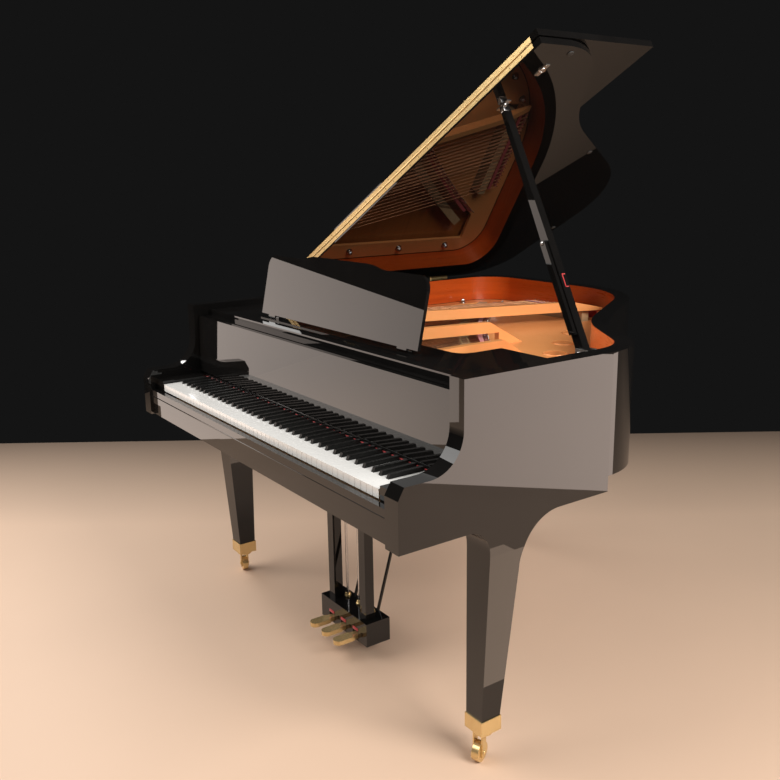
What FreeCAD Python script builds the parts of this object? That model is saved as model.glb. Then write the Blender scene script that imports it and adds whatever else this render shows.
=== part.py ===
import FreeCAD, Part
import math
import os
import re
from types import SimpleNamespace

Vector = FreeCAD.Vector
Rotation = FreeCAD.Rotation
Placement = FreeCAD.Placement

# Sizes in millimetres and degrees. Heights are above the floor, depths are behind the front of the arms.
sizes = {
    # Case
    "rim_wall": 48, "rim_bottom": 670, "rim_top": 973,
    "side_length": 620, "bend_radius": 200, "bend_turn": 56,
    "waist_length": 150, "waist_radius": 520, "waist_turn": 24,
    "tail_length": 330, "tail_radius": 460, "tail_corner": 170,
    "arm_length": 150, "arm_face_top": 747, "arm_top": 774, "arm_nose": 16, "arm_flat": 80,
    "cheek_front": 170,
    "inner_rim_wall": 38, "soundboard_seat": 845,
    "keybed_bottom": 630, "keybed_front": 12,
    "belly_set": 63, "belly_depth": 28,
    "post_width": 70, "post_height": 90, "leg_plate_size": 200, "leg_plate_thickness": 30,
    "stretcher_gap": 6, "stretcher_depth": 20, "stretcher_bottom": 780,
    "slip_front": 6, "slip_depth": 16, "slip_top": 713,
    "key_block_front": 27, "key_block_back": 176, "key_block_top": 746, "key_block_width": 55,
    "key_end_gap": 6,
    # Keyboard and action
    "white_pitch": 23.5, "white_gap": 1, "key_front": 28, "key_top": 737, "key_thickness": 22,
    "white_head": 50, "key_show": 148, "key_length": 378, "lever_width": 10,
    "black_width": 10, "black_rise": 10, "black_slope": 4, "black_clearance": 1.4,
    "balance_depth": 225, "frame_play": 0.3, "frame_end_gap": 22, "frame_side": 25,
    "front_rail_front": 40, "front_rail_depth": 50, "front_rail_top": 690,
    "balance_rail_depth": 30, "balance_rail_top": 713,
    "back_rail_front": 370, "back_rail_depth": 40, "back_rail_top": 700,
    "frame_stile_width": 40, "frame_stile_spread": 400, "frame_stile_top": 685, "frame_side_front": 185,
    "bracket_wall": 18, "bracket_lead": 25, "bracket_trail": 37, "bracket_top": 826,
    "hammer_rail_set": 104, "hammer_rail_depth": 20, "hammer_rail_bottom": 795, "hammer_rail_height": 24,
    "wippen_rail_set": 21, "wippen_rail_depth": 16, "wippen_rail_bottom": 752, "wippen_rail_height": 16,
    "wippen_length": 80, "wippen_width": 8, "wippen_height": 10,
    "strike_depth": 429, "shank_width": 5, "shank_height": 6, "shank_bottom": 803,
    "hammer_width": 9, "hammer_depth": 22, "hammer_height": 44,
    # Strings and their frame
    "string_height": 896, "bass_height": 910, "plain_radius": 0.5, "wound_radius": 1.3, "unison_pitch": 3.6,
    "bass_unison_pitch": 4.4,
    "bass_shift": 9, "tenor_shift": 21,
    "pin_radius": 2.6, "pin_top": 905, "pin_set": 167, "pin_row_pitch": 20, "string_gap": 0.3,
    "tenor_lean": 180, "tenor_run": 1000, "hitch_inset": 12,
    "bass_hitch_drop": 36,
    "block_margin": 30, "block_set": 37, "block_bottom": 828, "block_top": 868,
    "plate_thickness": 12, "plate_gap": 4, "web_set": 25, "plate_margin": 60,
    "strut_width": 20, "strut_bottom": 929, "strut_belly": 915, "strut_top": 948,
    "strut_foot": 80, "strut_slope": 110, "strut_end_height": 8, "hitch_clearance": 26,
    "lug_width": 2.4, "lug_length": 10, "window_margin": 2, "damper_pass": 40,
    "plate_hole_radius": 32, "bolt_radius": 9, "bolt_height": 9, "bolt_inset": 30,
    "bass_opening_margin": 20,
    "soundboard_thickness": 9, "soundboard_gap": 2, "rib_width": 25, "rib_height": 22, "rib_pitch": 120,
    "bridge_width": 32, "bridge_offset": 45, "bridge_clearance": 0.4,
    "bass_tail": 79, "bass_bridge_margin": 13,
    "damper_width": 10.7, "damper_length": 40, "damper_height": 9, "damper_gap": 1.2, "damper_set": 39,
    "damper_wire_radius": 0.5, "damper_rail_bottom": 770, "damper_rail_height": 14, "damper_rail_depth": 12,
    # Lid and props
    "lid_gap": 3, "lid_thickness": 17, "lid_angle": 28.3, "flap_line": 532, "flap_depth": 395,
    "strip_gap": 0.5, "strip_thickness": 1.5, "strip_width": 12, "strip_step": 0.3, "strip_end": 25,
    "strip_barrel_radius": 2, "strip_pin_radius": 1, "strip_knuckle": 90, "pin_clearance": 0.05,
    "butt_offset": 6, "butt_rise": 1.5, "butt_leaf": 3, "butt_length": 80, "butt_height": 35,
    "butt_step": 6.5,
    "butt_radius": 5, "butt_pin_radius": 2, "butt_knuckle": 27, "knuckle_gap": 0.5,
    "butt_front": 640, "butt_back": 1240,
    "prop_inset": 22, "prop_y": 597, "prop_z": 962, "prop_lid_inset": 243, "prop_lid_depth": 618,
    "prop_gap": 4,
    "prop_foot_radius": 12, "prop_depth": 22, "prop_width": 24, "prop_tip_width": 13, "prop_pin_radius": 4,
    "prop_lug_wall": 6, "prop_lug_gap": 1.5, "prop_lug_height": 34, "prop_lug_width": 24,
    "short_prop_length": 235, "short_prop_start": 285, "short_prop_width": 16, "short_prop_depth": 10,
    "short_prop_gap": 0.5, "short_pin_radius": 3,
    "cup_radius": 10, "cup_thickness": 2, "cup_plate_length": 44, "cup_plate_width": 13, "cup_pitch": 150,
    # Music desk and fallboard
    "shelf_thickness": 18, "shelf_top": 955, "shelf_gap": 19, "shelf_wing_back": 515,
    "shelf_wing_inner": 450, "shelf_corner": 40,
    "tray_width": 780, "tray_lead": 16, "tray_depth": 40, "tray_thickness": 3,
    "desk_width": 810, "desk_shoulder": 185, "desk_rise": 11, "desk_corner": 36, "desk_crest_half": 130,
    "desk_sweep": 90, "desk_thickness": 9, "desk_set": 64, "desk_hinge_z": 963.2, "desk_tilt": 12,
    "desk_knuckle_radius": 4.4, "desk_pin_radius": 2, "desk_knuckle_length": 40, "desk_knuckle_inset": 50,
    "fallboard_end_gap": 2, "fallboard_height": 176, "fallboard_heel": 8, "fallboard_thickness": 16,
    "fallboard_set": 18, "fallboard_z": 760, "fallboard_angle": 92, "fallboard_pin_radius": 4,
    "fallboard_pin": 8,
    # Legs and casters
    "leg_y": 292, "leg_top_width": 80, "leg_top_depth": 92, "leg_front_fillet": 62, "leg_back_fillet": 120,
    "leg_shoulder": 70, "leg_foot_size": 57, "leg_foot_inset": 42, "leg_foot_z": 118,
    "rear_leg_x": -340, "rear_leg_y": 1230,
    "ferrule_size": 62, "ferrule_bottom": 80,
    "wheel_radius": 25, "wheel_width": 18, "axle_radius": 3.5, "trail": 16,
    "fork_wall": 4, "fork_gap": 0.6, "fork_overlap": 9, "fork_bottom": 14, "fork_plate_radius": 24,
    "fork_plate_height": 9, "fork_drop": 0.5, "stem_radius": 6, "stem_length": 62, "stem_end_gap": 1,
    "front_right_swivel": 200, "front_left_swivel": 75, "rear_swivel": 320,
    # Pedals
    "pedal_box_width": 252, "pedal_box_front": 303, "pedal_box_depth": 82, "pedal_box_bottom": 46,
    "pedal_box_top": 118,
    "pedal_slot_width": 28, "pedal_slot_bottom": 50, "pedal_slot_top": 86, "pedal_slot_back": 379,
    "pedal_pitch": 66, "pedal_front": 228, "pedal_back": 374, "pedal_width": 24, "pedal_toe_width": 34,
    "pedal_toe_length": 60, "pedal_bottom": 54, "pedal_height": 13, "pedal_pivot": 326,
    "pedal_pin_radius": 3,
    "pedal_pin_reach": 18, "rod_y": 362, "rod_radius": 4, "rod_hole_clearance": 1, "rod_top": 616,
    "lyre_post_size": 30, "lyre_post_x": 86, "lyre_post_y": 318, "lyre_head_height": 18,
    "lyre_head_width": 230,
    "brace_radius": 5, "brace_x": 62, "brace_low_z": 105, "brace_back": 540,
    # Cutting tools run past the faces they cut by this much
    "overrun": 30,
}
key_count = 88
white_count = 52
single_count = 8
damped_count = 66
pitch_names = ("c", "c_sharp", "d", "d_sharp", "e", "f", "f_sharp", "g", "g_sharp", "a", "a_sharp", "b")
first_pitch = pitch_names.index("a")
black_shift_shares = {1: -0.18, 3: 0.18, 6: -0.24, 8: 0.0, 10: 0.24}
hitch_shares = ((0.85, 0.0251), (0.28, 0.2410), (-0.69, 0.8607))
plate_hole_shares = ((0.60, 0.475), (0.45, 0.55), (0.31, 0.64), (0.17, 0.735))
strut_octave_counts = (3, 5)
bass_octave_count = 1
bass_hitch_shares = (-0.479, -0.0437)
strut_lean_shares = (0.2, 0.0)
side_bolt_shares = (0.40, 0.55, 0.70, 0.85)
round_bolt_shares = (0.1, 0.4, 0.85)
bridge_shares = (0.03, 0.9)

doc = FreeCAD.newDocument("grand_piano")
# Sizes that follow from others. Widths come from the keyboard, depths from the line where the hammers strike.
derived = {
    "key_block_inner": f"{white_count} * white_pitch / 2 + key_end_gap",
    "case_width": "2 * (key_block_inner + key_block_width + rim_wall)",
    "frame_reach": "case_width / 2 - rim_wall - frame_end_gap",
    "prop_x": "case_width / 2 - rim_wall - prop_inset",
    "desk_knuckle_spread": "tray_width / 2 - desk_knuckle_inset",
    "belly_front": "strike_depth + belly_set",
    "damper_depth": "strike_depth + damper_set",
    "hammer_rail_front": "strike_depth - hammer_rail_set",
    "wippen_rail_front": "hammer_rail_front - wippen_rail_set",
    "bracket_front": "hammer_rail_front - bracket_lead",
    "bracket_back": "hammer_rail_front + bracket_trail",
    "plate_web_back": "strike_depth - web_set",
    "pin_row_front": "strike_depth - pin_set",
    "block_front": "pin_row_front - block_margin",
    "block_back": "strike_depth - block_set",
    "stretcher_front": "block_front - stretcher_gap - stretcher_depth",
    "shelf_front": "stretcher_front + stretcher_depth",
    "shelf_back": "plate_web_back - shelf_gap",
    "fallboard_y": "stretcher_front - fallboard_set",
    "desk_hinge_y": "shelf_front + desk_set",
    "tray_front": "desk_hinge_y - tray_lead",
}
sheet = doc.addObject("Spreadsheet::Sheet", "Sizes")
formulas = {alias: f"={text}" for alias, text in derived.items()}
cells = {**sizes, **formulas}
for row, (alias, value) in enumerate(cells.items(), start=1):
    sheet.set(f"A{row}", alias)
    sheet.set(f"B{row}", str(value))
    sheet.setAlias(f"B{row}", alias)
doc.recompute()
s = SimpleNamespace(**{alias: float(sheet.get(alias)) for alias in cells})
half = s.case_width / 2
inner_half = half - s.rim_wall
prop_lid_reach = 2 * half - s.prop_lid_inset
lid_bottom = s.rim_top + s.lid_gap
lid_top = lid_bottom + s.lid_thickness
subparts = []


def bound(text):
    return re.sub(r"[a-z]\w+", lambda word: f"Sizes.{word[0]}" if word[0] in cells else word[0], text)


def bind(item, **expressions):
    for name, text in expressions.items():
        item.setExpression(name.replace("__", "."), bound(text))
    return item


def block(corner, extent):
    box = doc.addObject("Part::Box", "block")
    bind(box, Length=extent[0], Width=extent[1], Height=extent[2])
    return bind(box, Placement__Base__x=corner[0], Placement__Base__y=corner[1],
                Placement__Base__z=corner[2])


def rod(radius, length, base, along="z"):
    turn = {"z": Rotation(), "x": Rotation(Vector(0, 1, 0), 90), "y": Rotation(Vector(1, 0, 0), -90)}[along]
    cylinder = doc.addObject("Part::Cylinder", "rod")
    cylinder.Placement = Placement(Vector(), turn)
    bind(cylinder, Radius=radius, Height=length)
    return bind(cylinder, Placement__Base__x=base[0], Placement__Base__y=base[1], Placement__Base__z=base[2])


def fused(*items):
    union = doc.addObject("Part::MultiFuse", "fused")
    union.Shapes = list(items)
    union.Refine = True
    return union


def trimmed(base, *tools):
    result = doc.addObject("Part::Cut", "trimmed")
    result.Base = base
    result.Tool = tools[0] if len(tools) == 1 else fused(*tools)
    return result


def shared(first, second):
    result = doc.addObject("Part::Common", "shared")
    result.Base = first
    result.Tool = second
    return result


def mirrored(source):
    result = doc.addObject("Part::Mirroring", "mirrored")
    result.Source = source
    result.Normal = Vector(1, 0, 0)
    return result


def feature(shapes):
    item = doc.addObject("Part::Feature", "group")
    item.Shape = Part.makeCompound(list(shapes))
    return item


def sketch_on(body, role, edges, offset):
    sketch = body.newObject("Sketcher::SketchObject", "sketch")
    plane = next(item for item in body.Origin.OriginFeatures if item.Role == role)
    sketch.AttachmentSupport = [(plane, "")]
    sketch.MapMode = "FlatFace"
    for edge in edges:
        sketch.addGeometry(edge, False)
    return bind(sketch, AttachmentOffset__Base__z=offset)


def pad_on(body, role, edges, offset, length):
    pad = body.newObject("PartDesign::Pad", "pad")
    pad.Profile = sketch_on(body, role, edges, offset)
    bind(pad, Length=length)
    body.Tip = pad


def padded(edges, offset, length, role="XY_Plane"):
    body = doc.addObject("PartDesign::Body", "body")
    pad_on(body, role, edges, offset, length)
    return body


def pocket_on(body, role, edges):
    pocket = body.newObject("PartDesign::Pocket", "pocket")
    pocket.Profile = sketch_on(body, role, edges, "0")
    pocket.Type = "ThroughAll"
    pocket.Midplane = True
    body.Tip = pocket


def segment(start, end):
    return Part.LineSegment(Vector(*start, 0), Vector(*end, 0))


def polygon(points):
    return [segment(start, end) for start, end in zip(points, points[1:] + points[:1])]


def rectangle(left, front, right, back):
    return polygon([(left, front), (right, front), (right, back), (left, back)])


def circle(centre, radius):
    return Part.Circle(Vector(*centre, 0), Vector(0, 0, 1), radius)


def arc(centre, radius, start, end):
    return Part.ArcOfCircle(circle(centre, radius), math.radians(start), math.radians(end))


def polar(centre, radius, angle):
    return (centre[0] + radius * math.cos(math.radians(angle)),
            centre[1] + radius * math.sin(math.radians(angle)))


# Plan of the case: straight treble side, round bend, hollow waist, round tail, square bass corner.
first_heading = 90 + s.bend_turn
last_heading = first_heading - s.waist_turn
bend_centre = (half - s.bend_radius, s.side_length)
waist_start = polar(polar(bend_centre, s.bend_radius, s.bend_turn), s.waist_length, first_heading)
waist_centre = polar(waist_start, s.waist_radius, first_heading - 90)
tail_start = polar(polar(waist_centre, s.waist_radius, last_heading + 90), s.tail_length, last_heading)
tail_centre = polar(tail_start, s.tail_radius, last_heading + 90)
case_depth = tail_centre[1] + s.tail_radius
corner_centre = (s.tail_corner - half, case_depth - s.tail_corner)


def case_path(inset, start):
    bend = s.bend_radius - inset
    waist = s.waist_radius + inset
    tail = s.tail_radius - inset
    corner = s.tail_corner - inset
    treble = (half - inset, s.side_length)
    bass = (inset - half, corner_centre[1])
    return [
        segment((half - inset, start), treble),
        arc(bend_centre, bend, 0, s.bend_turn),
        segment(polar(bend_centre, bend, s.bend_turn), polar(waist_centre, waist, first_heading + 90)),
        arc(waist_centre, waist, last_heading + 90, first_heading + 90),
        segment(polar(waist_centre, waist, last_heading + 90), polar(tail_centre, tail, last_heading - 90)),
        arc(tail_centre, tail, last_heading - 90, 90),
        segment(polar(tail_centre, tail, 90), polar(corner_centre, corner, 90)),
        arc(corner_centre, corner, 90, 180),
        segment(bass, (inset - half, start)),
    ]


def case_area(inset, start):
    return case_path(inset, start) + [segment((inset - half, start), (half - inset, start))]


def case_band(inset, wall, start):
    ends = [segment((side * (half - inset), start), (side * (half - inset - wall), start))
            for side in (1, -1)]
    return case_path(inset, start) + case_path(inset + wall, start) + ends


# Poses. The floor under the middle of the piano's box is the origin.
lid_axis = Vector(-half - s.butt_offset, 0, s.rim_top + s.butt_rise)
flap_axis = Vector(0, s.flap_line, lid_top + s.strip_step + s.strip_barrel_radius)
flap_stack = 2 * flap_axis.z - lid_bottom - lid_axis.z
lid_turn = math.radians(s.lid_angle)
lid_edge = lid_axis.x + s.butt_offset * math.cos(lid_turn) - flap_stack * math.sin(lid_turn)
in_frame = Placement(Vector(-(half + lid_edge) / 2, -case_depth / 2, 0), Rotation())
lid_pose = Placement(Vector(), Rotation(Vector(0, -1, 0), s.lid_angle), lid_axis)
flap_pose = lid_pose.multiply(Placement(Vector(), Rotation(Vector(1, 0, 0), 180), flap_axis))
rest = Placement()


def subpart(label, items, pose=rest):
    group = doc.addObject("Part::Compound", label)
    group.Links = list(items)
    group.Label = label
    group.Placement = in_frame.multiply(pose)
    subparts.append(group)


def make_case():
    rim = padded(case_band(0, s.rim_wall, 0), "rim_bottom", "rim_top - rim_bottom")
    for left, right in ((inner_half, half), (-half, -inner_half)):
        pad_on(rim, "XY_Plane", rectangle(left, 0, right, s.arm_length), "keybed_bottom",
               "rim_bottom - keybed_bottom")
    sweep = s.cheek_front - s.arm_flat
    above = s.rim_top + s.overrun
    pocket_on(rim, "YZ_Plane", [
        segment((-s.overrun, s.arm_face_top), (0, s.arm_face_top)),
        segment((0, s.arm_face_top), (s.arm_nose, s.arm_top)),
        segment((s.arm_nose, s.arm_top), (s.arm_flat, s.arm_top)),
        arc((s.arm_flat, s.arm_top + sweep), sweep, -90, 0),
        segment((s.cheek_front, s.arm_top + sweep), (s.cheek_front, above)),
        segment((s.cheek_front, above), (-s.overrun, above)),
        segment((-s.overrun, above), (-s.overrun, s.arm_face_top)),
    ])
    bore = rod("fallboard_pin_radius + pin_clearance", "case_width - 2 * rim_wall + 2 * fallboard_pin",
               ("rim_wall - fallboard_pin - case_width / 2", "fallboard_y", "fallboard_z"), "x")
    subpart("outer_rim", [trimmed(rim, bore)])
    inner_start = s.belly_front + s.belly_depth
    subpart("inner_rim", [padded(case_band(s.rim_wall, s.inner_rim_wall, inner_start), "rim_bottom",
                                 "soundboard_seat - rim_bottom")])
    keybed_edge = [(-inner_half, s.keybed_front), (inner_half, s.keybed_front), (inner_half, s.arm_length),
                   (half, s.arm_length), (half, s.side_length), (-half, s.side_length),
                   (-half, s.arm_length),
                   (-inner_half, s.arm_length)]
    subpart("keybed", [padded(polygon(keybed_edge), "keybed_bottom", "rim_bottom - keybed_bottom")])
    between = "case_width - 2 * rim_wall"
    left = "rim_wall - case_width / 2"
    subpart("belly_rail", [block((left, "belly_front", "rim_bottom"),
                                 (between, "belly_depth", "soundboard_seat - rim_bottom"))])
    subpart("stretcher", [block((left, "stretcher_front", "stretcher_bottom"),
                                (between, "stretcher_depth",
                                 "shelf_top - shelf_thickness - stretcher_bottom"))])
    subpart("key_slip", [block((left, "slip_front", "rim_bottom"),
                               (between, "slip_depth", "slip_top - rim_bottom"))])
    key_block = block(("key_block_inner", "key_block_front", "rim_bottom"),
                      ("key_block_width", "key_block_back - key_block_front",
                       "key_block_top - rim_bottom"))
    subpart("key_blocks", [key_block, mirrored(key_block)])


def post(start, end):
    along = (Vector(*end, 0) - Vector(*start, 0)).normalize()
    side = Vector(-along.y, along.x, 0) * (s.post_width / 2)
    corners = [Vector(*start, 0) + side, Vector(*end, 0) + side, Vector(*end, 0) - side,
               Vector(*start, 0) - side]
    return polygon([(corner.x, corner.y) for corner in corners])


def make_posts():
    start = s.belly_front + s.belly_depth
    hub = (s.rear_leg_x, case_depth)
    room = case_area(s.rim_wall + s.inner_rim_wall, start)
    spread_shares = (-0.56, -0.1, 0.46)
    front_ends = [(share * half, start - s.overrun) for share in spread_shares]
    back_ends = [(hub[0] - s.leg_plate_size, hub[1]), (hub[0] + s.post_width, hub[1]),
                 (half / 2, s.belly_front * 2)]
    beams = [shared(padded(room, "rim_bottom", "post_height"),
                    padded(post(front, back), "rim_bottom", "post_height"))
             for front, back in zip(front_ends, back_ends)]
    leg_plate = block(("rear_leg_x - leg_plate_size / 2", "rear_leg_y - leg_plate_size / 2",
                       "rim_bottom - leg_plate_thickness"),
                       ("leg_plate_size", "leg_plate_size", "leg_plate_thickness"))
    subpart("back_posts", beams + [leg_plate])


def make_soundboard():
    room = case_area(s.rim_wall + s.soundboard_gap, s.belly_front + s.soundboard_gap)
    panel = padded(room, "soundboard_seat", "soundboard_thickness")
    under = case_area(s.rim_wall + s.inner_rim_wall + s.soundboard_gap,
                      s.belly_front + s.belly_depth + s.soundboard_gap)
    ribs = []
    first = s.belly_front + s.belly_depth + s.rib_pitch / 2
    for place in range(int((case_depth - first - s.rib_pitch) / s.rib_pitch) + 1):
        front = first + place * s.rib_pitch
        strip = padded(rectangle(-half, front, half, front + s.rib_width), "soundboard_seat - rib_height",
                       "rib_height")
        ribs.append(shared(strip, padded(under, "soundboard_seat - rib_height", "rib_height")))
    subpart("soundboard", [panel] + ribs)


# Keyboard. Notes count from the lowest, and each has a lever on the same centre as its hammer and strings.
def is_black(note):
    return (note + first_pitch) % 12 in black_shift_shares


white_order = [note for note in range(key_count) if not is_black(note)]
keyboard_left = -white_count * s.white_pitch / 2


def white_left(note):
    return keyboard_left + white_order.index(note) * s.white_pitch


def black_centre(note):
    return white_left(note + 1) + black_shift_shares[(note + first_pitch) % 12] * s.white_pitch


def white_tail(note):
    left = white_left(note) + s.white_gap / 2
    right = left + s.white_pitch - s.white_gap
    reach = s.black_width / 2 + s.black_clearance
    if note > 0 and is_black(note - 1):
        left = black_centre(note - 1) + reach
    if note < key_count - 1 and is_black(note + 1):
        right = black_centre(note + 1) - reach
    return left, right


lever_centres = [black_centre(note) if is_black(note) else sum(white_tail(note)) / 2
                 for note in range(key_count)]
head_back = s.key_front + s.white_head
show_back = s.key_front + s.key_show
lever_back = s.key_front + s.key_length
key_bottom = s.key_top - s.key_thickness


def prism(points, direction):
    wire = Part.makePolygon(points + points[:1])
    return Part.Face(wire).extrude(direction)


def white_key(note):
    left = white_left(note) + s.white_gap / 2
    right = left + s.white_pitch - s.white_gap
    tail_left, tail_right = white_tail(note)
    lever_left = lever_centres[note] - s.lever_width / 2
    lever_right = lever_left + s.lever_width
    plan = [(left, s.key_front), (right, s.key_front), (right, head_back)]
    if tail_right < right:
        plan.append((tail_right, head_back))
    plan += [(tail_right, show_back), (lever_right, show_back), (lever_right, lever_back),
             (lever_left, lever_back),
             (lever_left, show_back), (tail_left, show_back)]
    if tail_left > left:
        plan.append((tail_left, head_back))
    plan.append((left, head_back))
    return prism([Vector(x, y, key_bottom) for x, y in plan], Vector(0, 0, s.key_thickness))


def black_key(note):
    left = lever_centres[note] - s.black_width / 2
    front = head_back + s.black_clearance
    top = s.key_top + s.black_rise
    side = [(front, key_bottom), (lever_back, key_bottom), (lever_back, s.key_top), (show_back, s.key_top),
            (show_back, top), (front + s.black_slope, top), (front, s.key_top)]
    return prism([Vector(left, y, z) for y, z in side], Vector(s.black_width, 0, 0))


def make_keys():
    for pitch, name in enumerate(pitch_names):
        notes = [note for note in range(key_count) if (note + first_pitch) % 12 == pitch]
        make = black_key if pitch in black_shift_shares else white_key
        subpart(f"keys_{name}", [feature(make(note) for note in notes)])


def make_key_frame():
    floor = "rim_bottom + frame_play"
    wide = "2 * frame_reach"

    def rail(left, width, front, depth, top):
        return block((left, front, floor), (width, depth, f"{top} - rim_bottom - frame_play"))

    rails = [
        rail("-key_block_inner + frame_side", "2 * key_block_inner - 2 * frame_side", "front_rail_front",
             "front_rail_depth", "front_rail_top"),
        rail("-frame_reach", wide, "key_front + balance_depth - balance_rail_depth / 2",
             "balance_rail_depth",
             "balance_rail_top"),
        rail("-frame_reach", wide, "back_rail_front", "back_rail_depth", "back_rail_top"),
    ]
    for side in ("-frame_reach", "frame_reach - frame_side"):
        rails.append(rail(side, "frame_side", "frame_side_front",
                          "back_rail_front + back_rail_depth - frame_side_front", "balance_rail_top"))
    for offset in ("-frame_stile_spread", "0", "frame_stile_spread"):
        rails.append(rail(f"{offset} - frame_stile_width / 2", "frame_stile_width", "front_rail_front",
                          "back_rail_front + back_rail_depth - front_rail_front", "frame_stile_top"))
    subpart("key_frame", [fused(*rails)])


# Strings. Wound bass strings cross above the plain ones, with a gap between the two groups.
break_pitch = pitch_names.index("e")
break_notes = [note for note in range(key_count) if (note + first_pitch) % 12 == break_pitch]
bass_count = break_notes[bass_octave_count] + 1
string_room = case_depth - s.strike_depth
hitch_points = [Vector(x * half, s.strike_depth + y * string_room, 0) for x, y in hitch_shares]
hitch_arc = Part.ArcOfCircle(*hitch_points)
hitch_centre = (hitch_arc.Center.x, hitch_arc.Center.y)
bass_hitch_depth = hitch_points[2].y + s.bass_hitch_drop
bass_bridge_depth = bass_hitch_depth - s.bass_tail


# Depth at which a line over the strings meets the curved edge where they end, or a curve inside it.
def hitch_depth(strike, slope, inset):
    steep = 1 + slope ** 2
    across = strike - hitch_centre[0]
    down = s.strike_depth - hitch_centre[1]
    middle = (across * slope + down) / steep
    gap = across ** 2 + down ** 2 - (hitch_arc.Radius - inset) ** 2
    return s.strike_depth - middle - math.sqrt(middle ** 2 - gap / steep)


class Choir:
    def __init__(self, note):
        self.bass = note < bass_count
        self.radius = s.wound_radius if self.bass else s.plain_radius
        self.height = s.bass_height if self.bass else s.string_height
        count = 1 if note < single_count else 2 if self.bass else 3
        pitch = s.bass_unison_pitch if self.bass else s.unison_pitch
        self.offsets = [(place - (count - 1) / 2) * pitch for place in range(count)]
        if self.bass:
            self.strike = lever_centres[note] - s.bass_shift
            first, last = bass_hitch_shares
            hitch = (first + note * (last - first) / (bass_count - 1)) * half
            self.slope = (hitch - self.strike) / (bass_hitch_depth - s.strike_depth)
        else:
            fade = 1 - (note - bass_count) / (key_count - 1 - bass_count)
            self.strike = lever_centres[note] + fade * s.tenor_shift
            self.slope = -fade * s.tenor_lean / s.tenor_run

    def at(self, depth):
        return self.strike + self.slope * (depth - s.strike_depth)

    # Plain strings end on the curved edge of the plate, bass strings on one straight line.
    def end(self, offset):
        if self.bass:
            return bass_hitch_depth
        return hitch_depth(self.strike + offset, self.slope, s.hitch_inset)


choirs = [Choir(note) for note in range(key_count)]
bass_bridge_left = choirs[0].at(bass_bridge_depth) - s.bass_bridge_margin
bass_bridge_right = choirs[bass_count - 1].at(bass_bridge_depth + s.bridge_width) + s.bass_bridge_margin


def make_action():
    wide = "2 * frame_reach - 2 * bracket_wall"
    left = "bracket_wall - frame_reach"
    bracket = block(("frame_reach - bracket_wall", "bracket_front", "balance_rail_top"),
                    ("bracket_wall", "bracket_back - bracket_front", "bracket_top - balance_rail_top"))
    hammer_rail = block((left, "hammer_rail_front", "hammer_rail_bottom"),
                        (wide, "hammer_rail_depth", "hammer_rail_height"))
    wippen_rail = block((left, "wippen_rail_front", "wippen_rail_bottom"),
                        (wide, "wippen_rail_depth", "wippen_rail_height"))
    hammers = []
    wippens = []
    shank_front = s.hammer_rail_front + s.hammer_rail_depth
    head_front = s.strike_depth - s.hammer_depth / 2
    for centre, choir in zip(lever_centres, choirs):
        shank = Part.makeBox(s.shank_width, head_front - shank_front, s.shank_height,
                             Vector(choir.strike - s.shank_width / 2, shank_front, s.shank_bottom))
        head = Part.makeBox(s.hammer_width, s.hammer_depth, s.hammer_height,
                            Vector(choir.strike - s.hammer_width / 2, head_front, s.shank_bottom))
        hammers.append(shank.fuse(head).removeSplitter())
        wippens.append(Part.makeBox(s.wippen_width, s.wippen_length, s.wippen_height,
                                    Vector(centre - s.wippen_width / 2,
                                           s.wippen_rail_front + s.wippen_rail_depth,
                                           s.wippen_rail_bottom)))
    subpart("action_stack", [bracket, mirrored(bracket), hammer_rail, wippen_rail, feature(wippens),
                             feature(hammers)])


def make_strings():
    groups = {True: [], False: []}
    pins = []
    for choir in choirs:
        for place, offset in enumerate(choir.offsets):
            pin_y = s.pin_row_front + place * s.pin_row_pitch
            front = pin_y + s.pin_radius + choir.radius + s.string_gap
            back = choir.end(offset)
            start = Vector(choir.at(front) + offset, front, choir.height)
            run = Vector(choir.at(back) + offset, back, choir.height) - start
            groups[choir.bass].append(Part.makeCylinder(choir.radius, run.Length, start, run))
            foot = Vector(choir.at(pin_y) + offset, pin_y, s.block_top)
            pins.append(Part.makeCylinder(s.pin_radius, s.pin_top - s.block_top, foot))
    subpart("plain_strings", [feature(groups[False])])
    subpart("wound_strings", [feature(groups[True])])
    subpart("tuning_pins", [feature(pins)])


def plate_web(inset):
    treble = (hitch_points[0].x, hitch_points[0].y)
    tail = (hitch_points[2].x, hitch_points[2].y)
    left = inset + s.plate_margin - half
    front = s.plate_web_back
    opening = [segment(tail, (left, tail[1])), segment((left, tail[1]), (left, front)),
               segment((left, front), (treble[0], front)), segment((treble[0], front), treble), hitch_arc]
    margin = s.bass_opening_margin
    bass_opening = rectangle(bass_bridge_left - margin, bass_bridge_depth - margin,
                             bass_bridge_right + margin,
                             bass_bridge_depth + s.bridge_width + margin)
    holes = [circle((x * half, y * case_depth), s.plate_hole_radius) for x, y in plate_hole_shares]
    pin_front = s.pin_row_front - s.pin_row_pitch / 2
    pin_edge = choirs[-1].at(pin_front) + s.pin_row_pitch
    window = rectangle(choirs[0].at(pin_front) - s.window_margin, pin_front, pin_edge,
                       pin_front + 3 * s.pin_row_pitch)
    return case_area(inset, s.block_front) + opening + bass_opening + holes + window


# Struts run over the strings from thin lugs that pass between two notes. They rise over the dampers and slope
# down at the back.
def strut(start, lean, profile):
    left = start - s.strut_width / 2
    side = [Vector(left + lean * (depth - profile[0][0]), depth, height) for depth, height in profile]
    return prism(side, Vector(s.strut_width, 0, 0))


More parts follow.
